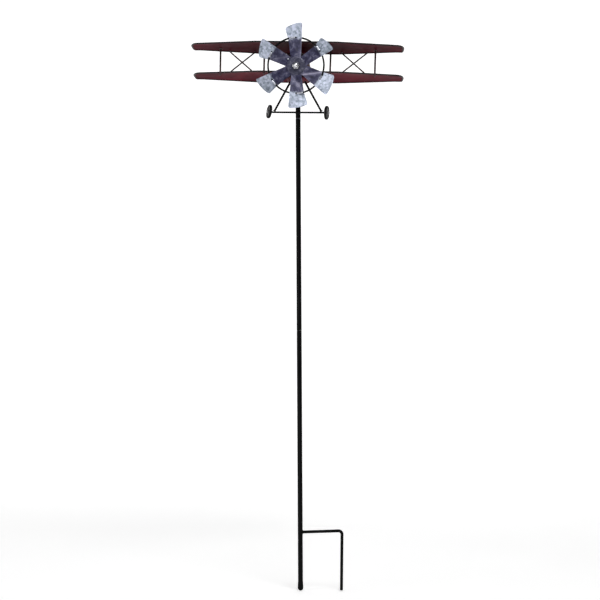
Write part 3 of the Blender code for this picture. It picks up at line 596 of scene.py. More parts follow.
def fuselage(paint, rim, steel):
    ys = [s[0] for s in BODY_SHAPE]
    fine = set()
    for a, b in zip(ys, ys[1:]):
        steps = max(2, int((b - a) / 0.010))
        fine.update(a + (b - a) * k / steps for k in range(steps + 1))
    for line in PANEL_LINES:
        fine.update(line + d for d in (-0.0014, -0.0005, 0.0005, 0.0014))
    fine = sorted(fine)
    for name, side in SIDE.items():
        rings = []
        for y in fine:
            groove = 0.00045 if any(abs(y - line) < 0.0007 for line in PANEL_LINES) else 0.0
            outer, inner = body_section(y, groove), body_section(y, SHEET)
            for p in outer:
                dent = 0.00035 * noise.noise(Vector((p.x * side, p.y, p.z)) * 28)
                p.x = max(0.00015, p.x + dent * min(1.0, p.x / 0.004))
            rings.append([Vector((side * p.x, p.y, p.z)) for p in outer + inner[::-1]])
        bm = bmesh.new()
        skin(bm, rings)
        shell = piece("fuselage_shell_" + name, bm, "airplane", paint, "maroon_paint", ["fuselage_" + name])
        hole = bmesh.new()
        oval = [[Vector((p.x * COCKPIT_HALF[0], COCKPIT_Y + p.y * COCKPIT_HALF[1], z))
                 for p in ring_points(1.0, 0, 64)] for z in (BODY_TOP_Z - 0.021, BODY_TOP_Z + 0.014)]
        skin(hole, oval)
        cut(shell, hole)
        hole = bmesh.new()
        add_turned(hole, [(0.0083, BELLY_Z - 0.04), (0.0083, BELLY_Z + 0.02)], 48)
        cut(shell, hole)
        mark(shell, "edge", body_dirt_and_shade)
        mark(shell, "wear", lambda p: 0.6)

    path = []
    for k in range(96):
        a = 2 * pi * k / 96
        x, y = COCKPIT_HALF[0] * cos(a), COCKPIT_Y + COCKPIT_HALF[1] * sin(a)
        path.append(Vector((x, y, body_top_at(x, y) + 0.0004)))
    rod("cockpit_coaming", "airplane", rim, "maroon_paint", path, 0.0019, 14, loop=True)

    half = body_section(NOSE_Y + 0.0005, 0.0004, 44)
    path = half[1:-1] + [Vector((-p.x, p.y, p.z)) for p in half[-2:0:-1]]
    rod("nose_bead", "airplane", rim, "maroon_paint", path, 0.0017, 12, loop=True)

    plate_y = middle("nose_plate").y
    axis = middle("bearing_tube")
    half = body_section(-0.092, SHEET + 0.0002, 40)
    outline = half[1:-1] + [Vector((-p.x, p.y, p.z)) for p in half[-2:0:-1]]
    hole_r = extent("bearing_tube").x / 2 + 0.0002
    faces = []
    rows = [1.0, 0.93, 0.90, 0.87, 0.7, 0.5, 0.3, 0.15, 0.0]
    for sign in (-1, 1):
        layer = []
        for t in rows if sign > 0 else rows[::-1]:
            ring = []
            for p in outline:
                spoke = Vector((p.x - axis.x, 0, p.z - axis.z))
                at = spoke.normalized() * hole_r
                place = at.lerp(spoke, t)
                step = 0.0016 * (0.5 - 0.5 * cos(pi * min(1.0, max(0.0, (0.94 - t) / 0.06))))
                ring.append(Vector((axis.x + place.x, plate_y - step + sign * SHEET / 2, axis.z + place.z)))
            layer.append(ring)
        faces += layer
    bm = bmesh.new()
    skin(bm, faces, loop=True)
    plate = piece("nose_cover", bm, "airplane", paint, "maroon_paint", ["nose_plate"])
    # painted shade: the whole cover darkened evenly, as if in the propeller's shadow
    mark(plate, "edge", lambda p: 0.7)
    mark(plate, "wear", lambda p: 0.3)

    low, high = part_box("bearing_tube")
    outer_r, bore = extent("bearing_tube").x / 2, 0.0051
    length = high.y - low.y
    profile = rounded_profile([(bore, 0), (outer_r, 0), (outer_r, length), (bore, length)], 0.0005)
    turned("bearing_tube_turned", "airplane", steel, "steel", profile, 48,
           along((axis.x, low.y, axis.z), (0, 1, 0)), ["bearing_tube"])


def body_dirt_and_shade(p):
    """Dirt in the panel lines, round the cockpit and at the tail; painted shadow of the propeller at the nose.
    """
    value = 0.0
    for line in PANEL_LINES:
        value = max(value, exp(-((p.y - line) / 0.0016) ** 2))
    rim = sqrt((p.x / COCKPIT_HALF[0]) ** 2 + ((p.y - COCKPIT_Y) / COCKPIT_HALF[1]) ** 2)
    if p.z > BODY_TOP_Z - 0.03:
        value = max(value, exp(-max(0.0, rim - 1.0) * 7))
    # painted shadow: the front of the body darkened as if shaded by the propeller; the tail term is dirt
    value = max(value, exp(-(p.y - NOSE_Y) / 0.016), exp(-(TAIL_Y - p.y) / 0.008))
    seam = exp(-abs(p.x) / 0.0013)
    return max(value, 0.75 * seam)


# ---- wings

def wing_facts():
    """Place and span of each wing; its middle height is worked back from the arch's highest row."""
    facts = {}
    rise = CHORD * (0.25 * tan(INCIDENCE) + CAMBER * 0.75)
    for wing, node in (("upper", "upper_wing"), ("lower", "lower_wing_right")):
        low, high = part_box(node)
        points = [v.co for v in frame["nodes"][node].data.vertices if abs(v.co.x) < CENTRE_HALF_SPAN + 0.0001]
        crown = max(p.z + p.x * tan(WING_ROLL) for p in points)
        middle_z = crown - WING_SHEET / 2 - rise
        facts[wing] = {"y": (low.y + high.y) / 2, "z": middle_z, "half_span": high.x}
    return facts


WINGS = wing_facts()


def taper_at(wing, x):
    """0 over the middle of a wing and 1 where its rounded tip begins."""
    end = WINGS[wing]["half_span"] - TIP_FRONT
    return max(0.0, min(1.0, (abs(x) - CENTRE_HALF_SPAN) / (end - CENTRE_HALF_SPAN)))


def chord_at(wing, x):
    """The wing's chord, without the rounding of its tip."""
    return CHORD + (TIP_CHORD - CHORD) * taper_at(wing, x)


def edge_y(wing, x, side, rounding):
    """Where the leading (side -1) or trailing (side 1) edge lies; a quarter ellipse rounds it at the tip."""
    over = max(0.0, abs(x) - WINGS[wing]["half_span"] + rounding) / rounding
    return WINGS[wing]["y"] + side * chord_at(wing, x) / 2 * sqrt(max(0.0, 1 - over ** 2))


def wing_height(wing, x, y):
    full = chord_at(wing, x)
    s = (y - WINGS[wing]["y"]) / full
    arch = CAMBER * (1 - TIP_FLATTENING * taper_at(wing, x))
    middle_z = WINGS[wing]["z"] - x * tan(WING_ROLL)
    return middle_z - s * full * tan(INCIDENCE) + arch * full * (1 - 4 * s * s)


def wing_edge(wing, inner_x):
    """A function that says how near a point is to the wing's rim, from 0 to 1."""
    half_span = WINGS[wing]["half_span"]

    def value_at(p):
        front, rear = edge_y(wing, p.x, -1, TIP_FRONT), edge_y(wing, p.x, 1, TIP_REAR)
        distance = min(p.y - front, rear - p.y, half_span - abs(p.x))
        if inner_x:
            distance = min(distance, (abs(p.x) - inner_x) * 1.5)
        return exp(-max(0.0, distance) / 0.0055)

    return value_at


def wing_stations(wing, start):
    half_span = WINGS[wing]["half_span"]
    end = half_span - TIP_FRONT
    steps = int((end - start) / 0.008)
    inner = [start + (end - start) * k / steps for k in range(steps + 1)]
    return inner + [end + TIP_FRONT * sin(radians(a)) for a in (14, 28, 40, 48, 55, 62, 69, 75, 80, 85)]


def wing_skin(name, wing, stations, node, paint, inner_x=0.0):
    chordwise = 28
    rings = []
    half = 0.0007
    for x in stations:
        front, rear = edge_y(wing, x, -1, TIP_FRONT), edge_y(wing, x, 1, TIP_REAR)
        ys = [front + (rear - front) * k / chordwise for k in range(chordwise + 1)]
        heights = []
        for y in ys:
            dent = 0.0007 * noise.noise(Vector((x, y, 3.0)) * 16)
            dent += 0.0003 * noise.noise(Vector((x, y, 7.0)) * 41)
            heights.append(wing_height(wing, x, y) + dent)
        rings.append([Vector((x, y, z + half)) for y, z in zip(ys, heights)]
                     + [Vector((x, y, z - half)) for y, z in zip(ys[::-1], heights[::-1])])
    bm = bmesh.new()
    skin(bm, rings)
    obj = piece(name, bm, "airplane", paint, "maroon_paint", [node])
    mark(obj, "edge", wing_edge(wing, inner_x))
    mark(obj, "wear", lambda p: 0.5 + 0.5 * noise.noise(p * 9))


def wing_outline(wing, start, side=0):
    """The rim's path: leading edge out, round the tip and trailing edge back. side 0 runs all round."""
    stations = wing_stations(wing, start) + [WINGS[wing]["half_span"]]

    def edge(x, sign):
        y = edge_y(wing, x, sign, TIP_FRONT if sign < 0 else TIP_REAR)
        return Vector((x, y, wing_height(wing, x, y)))

    if side:
        return [edge(side * x, -1) for x in stations] + [edge(side * x, 1) for x in stations[-2::-1]]
    right = [edge(x, -1) for x in stations] + [edge(x, 1) for x in stations[-2::-1]]
    left = [edge(-x, 1) for x in stations[1:]] + [edge(-x, -1) for x in stations[-2:0:-1]]
    return right + left


def wings(paint, rim):
    half = wing_stations("upper", 0.0)
    wing_skin("upper_wing_skin", "upper", [-x for x in half[:0:-1]] + half, "upper_wing", paint)
    rod("upper_wing_rim", "airplane", rim, "maroon_paint", wing_outline("upper", 0.0), RIM_R, 12, loop=True)
    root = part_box("lower_wing_right")[0].x
    for name, side in SIDE.items():
        stations = [side * x for x in wing_stations("lower", root)]
        wing_skin("lower_wing_skin_" + name, "lower", stations, "lower_wing_" + name, paint, root)
        outline = wing_outline("lower", root, side)
        rod("lower_wing_rim_" + name, "airplane", rim, "maroon_paint", outline, RIM_R, 12)


# ---- tail

def plate_piece(name, outline, flat, thickness, paint, node):
    """A sheet with soft edges from a convex outline; flat is the axis across the sheet."""
    centre = sum(outline, Vector()) / len(outline)
    shrink = [1.0, 0.985, 0.95, 0.90, 0.8, 0.6, 0.4, 0.2, 0.05]
    half = {1.0: thickness * 0.25, 0.985: thickness * 0.46}
    layers = []
    for sign in (1, -1):
        for t in shrink[::-1] if sign > 0 else shrink:
            ring = []
            for p in outline:
                q = centre.lerp(p, t)
                wave = 0.0004 * noise.noise(q * 22)
                offset = sign * half.get(t, thickness / 2) + (wave if t < 0.97 else 0.0)
                ring.append(q + flat * offset)
            layers.append(ring)
    bm = bmesh.new()
    skin(bm, layers)
    obj = piece(name, bm, "airplane", paint, "maroon_paint", [node])
    reach = [(p - centre).length for p in outline]
    biggest = max(reach)

    def edge(p):
        nearest = min((p - q).length for q in outline)
        return exp(-nearest / (0.05 * biggest))

    mark(obj, "edge", edge)
    mark(obj, "wear", lambda p: 0.6)


def tail(paint, rim):
    low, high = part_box("tailplane")
    half, root_y, tip_y = high.x, low.y, high.y
    z = (low.z + high.z) / 2
    sweep_end = (half * 0.55, root_y + 0.008, 0)
    front_tip, rear_tip = (half, root_y + 0.020, 0), (half, tip_y, 0)
    right = [Vector((0, root_y, 0)), Vector((half * 0.3, root_y + 0.0045, 0)), Vector(sweep_end)]
    right += bend(front_tip, sweep_end, rear_tip, 0.022, 14)
    right += bend(rear_tip, front_tip, (0, tip_y, 0), 0.022, 14)
    right += [Vector((half * 0.5, tip_y, 0)), Vector((half * 0.2, tip_y, 0)), Vector((0, tip_y, 0))]
    outline = [Vector((p.x, p.y, z)) for p in right] + [Vector((-p.x, p.y, z)) for p in right[-2:0:-1]]
    plate_piece("tailplane_sheet", outline, UP, TAIL_SHEET, paint, "tailplane")
    rod("tailplane_rim", "airplane", rim, "maroon_paint", outline, TAIL_RIM_R, 12, loop=True)

    low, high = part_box("tail_fin")
    base, crown_z = low.z, high.z
    start, crown = Vector((0, low.y, base)), Vector((0, low.y + 0.046, crown_z))
    back, rear_top = Vector((0, high.y, base)), Vector((0, high.y, crown_z))
    side = [start] + bend(crown, start, rear_top, 0.030, 14) + bend(rear_top, crown, back, 0.018, 14)
    side += [back.lerp(rear_top, 0.35), back, back.lerp(start, 0.33), back.lerp(start, 0.66)]
    plate_piece("tail_fin_sheet", side, Vector((1, 0, 0)), TAIL_SHEET, paint, "tail_fin")
    path = [p + UP * 0.0012 if p.z < base + 0.001 else p for p in side[:-2]]
    rod("tail_fin_rim", "airplane", rim, "maroon_paint", path, TAIL_RIM_R, 12)


# ---- struts and bracing

def strut_line(node, side):
    """Foot and head of a strut, which leans aft and a little outward, from its box."""
    low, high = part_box(node)
    inner, outer = low.x + STRUT_R, high.x - STRUT_R
    if side < 0:
        inner, outer = outer, inner
    return Vector((inner, low.y + STRUT_R, low.z)), Vector((outer, high.y - STRUT_R, high.z))


def struts(enamel, weld):
    welds = bmesh.new()
    for row in ("inner", "outer"):
        for name, side in SIDE.items():
            node = f"{row}_strut_{name}"
            foot, head = strut_line(node, side)
            head_end = head + (head - foot).normalized() * 0.0012
            path = [foot, foot + (head - foot) * 0.004, foot.lerp(head, 0.3), foot.lerp(head, 0.6), head_end]
            radii = [STRUT_R * 0.8] + [STRUT_R] * 4
            rod(node + "_rod", "airplane", enamel, "strut_paint", path, radii, 24, [node])
            add_weld(welds, head, head - foot, STRUT_R + 0.0002, 0.0012)
            edge = foot + (head - foot).normalized() * 0.009 + Vector((0, 0.0022, 0))
            for shift in (-1, 1):
                add_blob(welds, edge + Vector((shift * 0.0021, 0, 0)), (0, -1, 0), 0.0034, 0.0017, 0.0013)
    piece("strut_welds", welds, "airplane", weld, "strut_paint")


def braces(enamel, weld):
    welds = bmesh.new()
    for name, side in SIDE.items():
        for way in ("rising", "falling"):
            node = f"brace_{way}_{name}"
            low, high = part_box(node)
            inward = (way == "rising") == (side > 0)
            low_x, high_x = low.x + BRACE_R, high.x - BRACE_R
            if inward:
                low_x, high_x = high_x, low_x
            foot = Vector((low_x, low.y + BRACE_R, low.z + BRACE_R * 0.6))
            head = Vector((high_x, high.y - BRACE_R, high.z - BRACE_R * 0.6))
            path = [foot.lerp(head, k / 4) for k in range(5)]
            rod(node + "_wire", "airplane", enamel, "strut_paint", path, BRACE_R, 16, [node])
            for end, sign in ((foot, -1), (head, 1)):
                add_blob(welds, end + Vector((0, 0, sign * BRACE_R)), (0, 0, sign), 0.0034, 0.0030, 0.0012)
    piece("brace_welds", welds, "airplane", weld, "strut_paint")


# ---- landing gear

def wheel_axis(name):
    joint = next(j for j in frame["joints"] if j["name"] == f"wheel_{name}_spin")
    return Vector(joint["pos_m"]), Vector(joint["axis"]).normalized()


def gear(coat):
    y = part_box("axle")[1].y - GEAR_R
    corners, ends = {}, {}
    for name in SIDE:
        place, axis = wheel_axis(name)
        corners[name] = place - axis * AXLE_BEND_IN
        ends[name] = place + axis * AXLE_END_OUT
    path = [ends["left"]] + bend(corners["left"], ends["left"], corners["right"], 0.012, 8)
    path += [corners["left"].lerp(corners["right"], share) for share in (0.2, 0.4, 0.6, 0.8)]
    path += bend(corners["right"], corners["left"], ends["right"], 0.012, 8) + [ends["right"]]
    z = (corners["left"].z + corners["right"].z) / 2
    rod("axle_rod", "airplane", coat, "black_paint", path, GEAR_R, 24, ["axle"])

    welds = bmesh.new()
    for name, side in SIDE.items():
        node = "gear_leg_" + name
        low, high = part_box(node)
        r = (high.y - low.y) / 2
        outer_x = low.x if side < 0 else high.x
        inner_x = high.x if side < 0 else low.x
        foot = Vector((outer_x - side * r * 0.87, y, low.z + r / 2))
        head = Vector((inner_x + side * r * 0.87, y, high.z - r / 2))
        down = (foot - head).normalized()
        path = [head - down * 0.0022, head, head.lerp(foot, 0.5), foot, foot + down * 0.002]
        rod(node + "_rod", "airplane", coat, "black_paint", path, r, 24, [node])
        add_weld(welds, head - down * 0.0006, down, r + 0.0003, 0.0014)
        add_weld(welds, foot + down * 0.0012, down, r + 0.0003, 0.0014)
    for sign in (1, -1):
        add_blob(welds, (0, -0.0088, z + sign * 0.0028), (0, 0, sign), 0.0022, 0.006, 0.0016)
    piece("gear_welds", welds, "airplane", coat, "black_paint")


def wheels(rubber, paint, steel):
    for name in SIDE:
        place, axis = wheel_axis(name)
        matrix = along(place, axis)
        outer = extent("tyre_" + name).z / 2
        half, inner = WHEEL_HALF, RIM_INNER_R
        profile = [(inner, -half + 0.0012), (inner + 0.002, -half + 0.0004), (outer - 0.0030, -half)]
        for k in range(7):
            a = pi / 2 * k / 6
            profile.append((outer - 0.0022 + 0.0022 * sin(a), -half + 0.0022 - 0.0022 * cos(a)))
        tread = []
        for centre in (-0.0009, 0.0009):
            tread += [(outer, centre - 0.0004), (outer - 0.0006, centre - 0.0002),
                      (outer - 0.0006, centre + 0.0002), (outer, centre + 0.0004)]
        profile += tread + [(r, -z) for r, z in profile[::-1]]
        turned("tyre_ring_" + name, "wheel_" + name, rubber, "rubber", profile, 96, matrix, ["tyre_" + name])

        bore = 0.0031
        face = [(bore, half - 0.0004), (0.0044, half - 0.0003), (0.0053, half - 0.0007),
                (0.0058, half - 0.0016), (0.0066, 0.0014), (0.0085, 0.0011), (0.0105, 0.0013),
                (0.0116, 0.0019), (0.0122, 0.0026),
                (0.0131, 0.0030), (0.0138, 0.0028)]
        profile = [(r, -z) for r, z in face] + face[::-1]
        bm = bmesh.new()
        add_turned(bm, profile, 80, matrix, loop=True)
        for k in range(5):
            a = 2 * pi * k / 5
            spot = matrix @ Vector((0.0090 * cos(a), 0.0090 * sin(a), 0.0012))
            add_blob(bm, spot, axis, 0.0014, 0.0014, 0.0006)
        piece("wheel_centre_" + name, bm, "wheel_" + name, paint, "wheel_grey", ["wheel_disc_" + name])

        start = half + 0.0003
        cap = [(0.0033, start), (0.0050, start), (0.0056, start + 0.0005), (0.0057, start + 0.0018)]
        cap += [(0.0057 * cos(radians(a)) ** 0.7, start + 0.0018 + 0.0034 * sin(radians(a)))
                for a in (15, 30, 45, 60, 75, 86)]
        turned("axle_cap_" + name, "airplane", steel, "steel", cap, 40, matrix, ["wheel_cap_" + name],
               loop=False)

        near, far = -half - 0.0003, -half - 0.0013
        washer = rounded_profile([(0.0032, far), (0.0058, far), (0.0058, near), (0.0032, near)], 0.0003, 3)
        turned("axle_washer_" + name, "airplane", steel, "steel", washer, 40, matrix,
               ["wheel_washer_" + name])


# ---- propeller

SPIN = next(j for j in frame["joints"] if j["name"] == "propeller_spin")
HUB = Vector(SPIN["pos_m"])
RING_R = (extent("rotor_ring").x - extent("rotor_ring").y) / 2
RING_ROD_R = extent("rotor_ring").y / 2
RING_FORWARD = HUB.y - middle("rotor_ring").y
RIVET_CIRCLE = 0.021

# a blade's edges from its root to the crease, as distances out from the shaft and across the blade
TRAILING = [(0.0125, -0.0068), (0.0285, -0.0160), (0.0300, -0.0170), (0.084, -0.0244)]
LEADING = [(0.0125, 0.0068), (0.0285, 0.0160), (0.030, 0.0156)]
# leading and trailing corner of each paddle, from the top one clockwise
TIPS = [
    ((0.1315, 0.0222), (0.1185, -0.0340)),
    ((0.1262, 0.0190), (0.1125, -0.0368)),
    ((0.1315, 0.0390), (0.1216, -0.0316)),
    ((0.1365, 0.0243), (0.1232, -0.0368)),
    ((0.1317, 0.0232), (0.1181, -0.0342)),
    ((0.1318, 0.0216), (0.1155, -0.0344)),
]
# strength of the painted highlight on each blade's leading edge and crease, from the top one clockwise
EDGE_HIGHLIGHT = (0.8, 0.15, 0.3, 0.2, 0.15, 0.25)
CREASE_HIGHLIGHT = (0.15, 0.10, 1.3, 0.35, 0.15, 0.35)
# how far across each blade, from its crossing with the ring, solder covers the ring
SOLDER_END = -0.0010
SOLDER_REACH = (-0.0225, -0.0200, -0.0120, -0.0225, -0.0215, -0.0200)


def on_line(line, t):
    """The point at share t of the way out along an edge given as (out, across) points."""
    u = line[0][0] + (line[-1][0] - line[0][0]) * t
    for a, b in zip(line, line[1:]):
        if u <= b[0] + 1e-9:
            break
    s = (u - a[0]) / (b[0] - a[0])
    return u, a[1] + (b[1] - a[1]) * s


def fold_forward(u, v):
    """How far the sheet stands in front of its hub plane: a soft bend along the slanting crease."""
    fold = (CREASE_OUTER - CREASE_INNER).normalized()
    beyond = fold.cross(Vector((v, 0, u)) - CREASE_INNER).y
    softness = 0.0030
    return tan(CREASE_ANGLE) * (beyond + sqrt(beyond * beyond + softness * softness)) / 2


def blade(index, metal, turn):
    along_steps, across_steps = 78, 30
    corner = 0.045
    leading, trailing = LEADING + [TIPS[index - 1][0]], TRAILING + [TIPS[index - 1][1]]
    front, back = [], []
    for i in range(along_steps + 1):
        t = i / along_steps
        t = 1 - (1 - t) ** 1.25
        low, high = on_line(trailing, t), on_line(leading, t)
        near_end = max(0.0, (t - (1 - corner)) / corner)
        inset = 0.11 * (1 - sqrt(max(0.0, 1 - near_end ** 2)))
        front_row, back_row = [], []
        for j in range(across_steps + 1):
            r = inset + (1 - 2 * inset) * j / across_steps
            u = low[0] + (high[0] - low[0]) * r
            v = low[1] + (high[1] - low[1]) * r
            u += 0.0042 * 4 * r * (1 - r) * t ** 6
            out = sqrt(u * u + v * v)
            cup = 0.0016 * 4 * r * (1 - r) * min(1.0, max(0.0, (out - 0.085) / 0.03))
            wave = 0.0003 * noise.noise(Vector((u, v, index * 3.1)) * 45)
            wave *= min(1.0, max(0.0, (out - 0.03) / 0.02))
            forward = fold_forward(u, v) - cup + wave
            thick = BLADE_SHEET / 2 * (0.55 if j in (0, across_steps) or i == along_steps else 1.0)
            front_row.append(Vector((v, -forward - thick, u)))
            back_row.append(Vector((v, -forward + thick, u)))
        front.append(front_row)
        back.append(back_row)
    bm = bmesh.new()
    place = Matrix.Translation(HUB) @ turn
    skin(bm, [[place @ p for p in above + below[::-1]] for above, below in zip(front, back)])
    node = f"blade_{index}"
    obj = piece(node + "_sheet", bm, "rotor", metal, "galvanised", [node], sharp=50)
    slot_cutter = bmesh.new()
    add_sweep(slot_cutter, ring_path(), RING_ROD_R + 0.0003, 16, loop=True)
    cut(obj, slot_cutter)
    undo = place.inverted()

    def root(p):
        q = undo @ p
        return min(1.0, max(0.0, (RING_R + 0.008 - sqrt(q.x * q.x + q.z * q.z)) / 0.022))

    # painted highlight mask: high along the leading edge and the inner crease, scaled by each blade's strength
    def edge(p):
        q = undo @ p
        t = (q.z - leading[0][0]) / (leading[-1][0] - leading[0][0])
        near = abs(q.x - on_line(leading, min(1.0, max(0.0, t)))[1])
        fold = (CREASE_OUTER - CREASE_INNER).normalized()
        beyond = abs(fold.cross(Vector((q.x, 0, q.z)) - CREASE_INNER).y)
        inner = 1.0 if q.z < 0.085 else 0.0
        return max(EDGE_HIGHLIGHT[index - 1] * exp(-near / 0.0018),
                   CREASE_HIGHLIGHT[index - 1] * exp(-beyond / 0.0022) * inner)

    mark(obj, "root", root)
    mark(obj, "edge", edge)


def ring_path():
    steps = 180
    return [HUB + Vector((RING_R * sin(2 * pi * k / steps), -RING_FORWARD, RING_R * cos(2 * pi * k / steps)))
            for k in range(steps)]


def on_shaft(y):
    """Places a turned piece on the shaft, growing forward from y."""
    return along((HUB.x, y, HUB.z), (0, -1, 0))


def rotor(metal, hub_finish, dark, coat, bright, steel, drop):
    rod("rotor_ring_wire", "rotor", coat, "black_paint", ring_path(), RING_ROD_R, 20, ["rotor_ring"],
        loop=True)

    drops = bmesh.new()
    count = len(TIPS)
    facing = along((0, 0, 0), (0, -1, 0))
    for k in range(count):
        turn = Matrix.Rotation(2 * pi * k / count, 4, "Y")
        blade(k + 1, metal, turn)
        place = Matrix.Translation(HUB) @ turn
        reach = SOLDER_REACH[k]
        seam = [place @ Vector((v, -RING_FORWARD - 0.0004, sqrt(RING_R ** 2 - v * v)))
                for v in (reach + (SOLDER_END - reach) * i / 14 for i in range(15))]
        lumps = [RING_ROD_R * (1.12 + 0.28 * noise.noise(p * 420)) * sqrt(max(0.05, 1 - ((i - 7) / 7.4) ** 6))
                 for i, p in enumerate(seam)]
        add_sweep(drops, seam, lumps, 14)
        head = place @ Matrix.Translation((0, 0, RIVET_CIRCLE)) @ facing
        face = BLADE_SHEET * 1.5 + 0.0006
        dome = [(0.0036 * cos(radians(a)), face + 0.0017 * sin(radians(a))) for a in (0, 20, 40, 58, 74, 86)]
        shop = [(0.0004, -face - 0.0010), (0.0024, -face - 0.0008), (0.0032, -face), (0.0019, -face)]
        turned(f"rivet_{k + 1}", "rotor", hub_finish, "chrome", shop + [(0.0019, face)] + dome, 32, head,
               [f"hub_rivet_{k + 1}"], loop=False)
    add_blob(drops, HUB + Vector((-0.0245, -0.0030, 0.0215)), (0, -1, 0), 0.0022, 0.0026, 0.0012)
    piece("ring_solder", drops, "rotor", drop, "galvanised")

    for node, title, finish_slot, material, dome in (
            ("front_hub_plate", "front_hub_disc", "blued_steel", hub_finish, 0.0006),
            ("rear_hub_plate", "rear_hub_disc", "blued_steel", hub_finish, 0.0),
            ("front_washer", "front_dark_washer", "blued_steel", dark, 0.0002),
            ("spacer_washer", "rear_spacer", "steel", steel, 0.0),
            ("shaft_collar", "rear_collar", "steel", steel, 0.0)):
        low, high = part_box(node)
        outer, thick = (high.x - low.x) / 2, high.y - low.y
        bore = SHAFT_BORE
        top = [(bore, thick + dome * 0.3), (outer * 0.45, thick + dome), (outer * 0.72, thick + dome * 0.8),
               (outer * 0.86, thick + dome * 0.3), (outer - 0.0005, thick), (outer, thick - 0.0004)]
        profile = [(bore, 0), (outer - 0.0003, 0), (outer, 0.0003)] + top[::-1]
        turned(title, "rotor", material, finish_slot, profile, 96, on_shaft(high.y), [node])

    low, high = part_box("rotor_shaft")
    r, length = (high.x - low.x) / 2, high.y - low.y
    profile = [(r - 0.0008, 0), (r, 0.0008), (r, length / 2), (r, length - 0.0008), (r - 0.0008, length)]
    turned("rotor_shaft_rod", "rotor", steel, "steel", profile, 48, on_shaft(high.y), ["rotor_shaft"],
           loop=False)
    acorn_nut(bright)


def acorn_nut(bright):
    """Hexagon with chamfered corners and a polished dome."""
    low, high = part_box("acorn_nut")
    length = high.y - low.y
    flats = (high.z - low.z) / 2
    hexagon_height = 0.0066
    dome = 0.0088
    sides = 96

    def hexagon(height, round_limit):
        ring = []
        for k in range(sides):
            a = 2 * pi * k / sides
            sector = (a + pi / 6) % (pi / 3) - pi / 6
            r = min(flats / cos(sector), round_limit)
            ring.append(Vector((r * cos(a + pi / 6), r * sin(a + pi / 6), height)))
        return ring

    corner = flats / cos(pi / 6)
    bore = SHAFT_BORE
    shoulder, middle_height = hexagon_height + 0.0005, hexagon_height * 0.5
    rings = [ring_points(r, z, sides) for r, z in ((bore, 0.0095), (bore, 0.0006), (bore + 0.0006, 0))]
    rings.append(hexagon(0, flats * 0.985))
    rings += [hexagon(height, corner) for height in (0.0011, middle_height, hexagon_height - 0.0011)]
    rings.append(hexagon(hexagon_height, flats * 0.985))
    rings += [ring_points(r, z, sides) for r, z in ((flats * 0.95, hexagon_height + 0.0002), (dome, shoulder))]
    top = length - hexagon_height - 0.0005
    for a in (8, 18, 28, 38, 48, 58, 67, 75, 82, 87):
        rings.append(ring_points(dome * cos(radians(a)), shoulder + top * sin(radians(a)), sides))
    place = on_shaft(high.y)
    bm = bmesh.new()
    skin(bm, [[place @ p for p in ring] for ring in rings])
    piece("acorn_nut_polished", bm, "rotor", bright, "chrome", ["acorn_nut"], sharp=25)


# ---- stage

CAMERA_DISTANCE = 5.0
CAMERA_HEIGHT = 0.937
CAMERA_AZIMUTH = radians(2.9)
CAMERA_ROLL = radians(0.3)
CAMERA_SHIFT = 0.0016
SENSOR_WIDTH = 36.0
METRES_ACROSS = 1.935  # width seen at the pole


def pale_floor():
    """A white sweep that carries a little light of its own, so it stays white behind the part."""
    s = Surface("pale_floor")
    colour = s.ramp(s.noise(1.5, 2.0), [(0.3, (0.92, 0.92, 0.92)), (0.7, (0.95, 0.95, 0.95))])
    s.finish(colour, 0.9, specular=0.1)
    s.shader.inputs["Emission Color"].default_value = (1.0, 1.0, 1.0, 1.0)
    split = s.node("ShaderNodeSeparateXYZ", {"Vector": s.position})
    under, behind = s.step(split.outputs["Y"], -1.4, -0.2), s.step(split.outputs["Y"], 0.8, 3.8)
    glow = s.maths("ADD", s.spread(under, 0.04, 0.32), s.spread(behind, 0.0, 0.14))
    s.put(glow, s.shader.inputs["Emission Strength"])
    radius, depth, near, width, height = 1.5, 3.2, -9.0, 9.0, 6.0
    profile = [(near, 0.0), (depth, 0.0)]
    for k in range(1, 17):
        a = pi / 2 * k / 16
        profile.append((depth + radius * sin(a), radius - radius * cos(a)))
    profile.append((depth + radius, height))
    bm = bmesh.new()
    rows = [[bm.verts.new((x, y, z)) for x in (-width, width)] for y, z in profile]
    for a, b in zip(rows, rows[1:]):
        bm.faces.new((a[0], a[1], b[1], b[0]))
    mesh = bpy.data.meshes.new("pale_floor")
    bm.to_mesh(mesh)
    bm.free()
    mesh.shade_smooth()
    mesh.materials.append(s.material)
    floor = bpy.data.objects.new("pale_floor", mesh)
    bpy.context.scene.collection.objects.link(floor)


def softbox(name, place, target, size, power):
    light = bpy.data.lights.new(name, "AREA")
    light.shape = "RECTANGLE"
    light.size, light.size_y = size
    light.energy = power
    obj = bpy.data.objects.new(name, light)
    bpy.context.scene.collection.objects.link(obj)
    obj.location = place
    obj.rotation_mode = "QUATERNION"
    obj.rotation_quaternion = (Vector(target) - Vector(place)).to_track_quat("-Z", "Y")


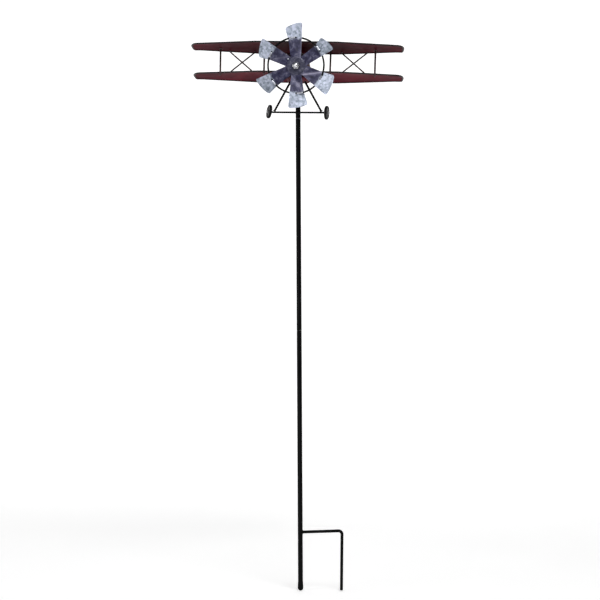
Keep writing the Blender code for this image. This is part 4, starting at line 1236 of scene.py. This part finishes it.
def studio():
    pale_floor()
    world = bpy.data.worlds.new("studio")
    bpy.context.scene.world = world
    world.use_nodes = True
    world.node_tree.nodes["Background"].inputs["Color"].default_value = (1.0, 1.0, 1.0, 1.0)
    world.node_tree.nodes["Background"].inputs["Strength"].default_value = 0.20

    softbox("key_light", (0.9, -2.3, 4.0), (0, 0, 1.6), (1.5, 1.2), 80)
    softbox("side_light", (-3.2, -2.0, 2.0), (0, 0, 1.3), (0.8, 2.2), 22)
    softbox("low_light", (-1.7, -3.2, 0.6), (0, 0, 1.7), (2.0, 0.6), 28)
    softbox("back_light", (0.0, 1.2, 3.6), (0, 4.2, 1.6), (4.0, 1.0), 22)

    camera = bpy.data.cameras.new("camera")
    camera.sensor_width = SENSOR_WIDTH
    camera.lens = SENSOR_WIDTH * CAMERA_DISTANCE / METRES_ACROSS
    camera.shift_x = CAMERA_SHIFT
    obj = bpy.data.objects.new("camera", camera)
    bpy.context.scene.collection.objects.link(obj)
    obj.location = (CAMERA_DISTANCE * sin(CAMERA_AZIMUTH), -CAMERA_DISTANCE * cos(CAMERA_AZIMUTH),
                    CAMERA_HEIGHT)
    obj.rotation_mode = "QUATERNION"
    level = (Vector((0, 0, CAMERA_HEIGHT)) - obj.location).to_track_quat("-Z", "Y")
    obj.rotation_quaternion = level @ Quaternion((0, 0, 1), -CAMERA_ROLL)
    bpy.context.scene.camera = obj
    bpy.context.scene.view_settings.view_transform = "Standard"


def main():
    coat, paint = black_powder_coat(), maroon_enamel()
    steel, dark, plastic = (plain_finish(name) for name in ("zinc_steel", "dark_steel", "black_nylon"))
    rim, enamel, weld = (plain_finish(name) for name in ("rim_enamel", "strut_enamel", "weld_metal"))
    hub, bright, drop = (plain_finish(name) for name in ("hub_metal", "chrome_plate", "bright_solder"))
    pole(coat)
    peg(coat)
    pivot(coat, dark, plastic)
    fuselage(paint, rim, steel)
    wings(paint, rim)
    tail(paint, rim)
    struts(enamel, weld)
    braces(enamel, weld)
    gear(coat)
    wheels(plain_finish("tyre_rubber"), plain_finish("wheel_paint"), steel)
    rotor(blade_metal(), hub, dark, coat, bright, steel, drop)
    studio()


main()
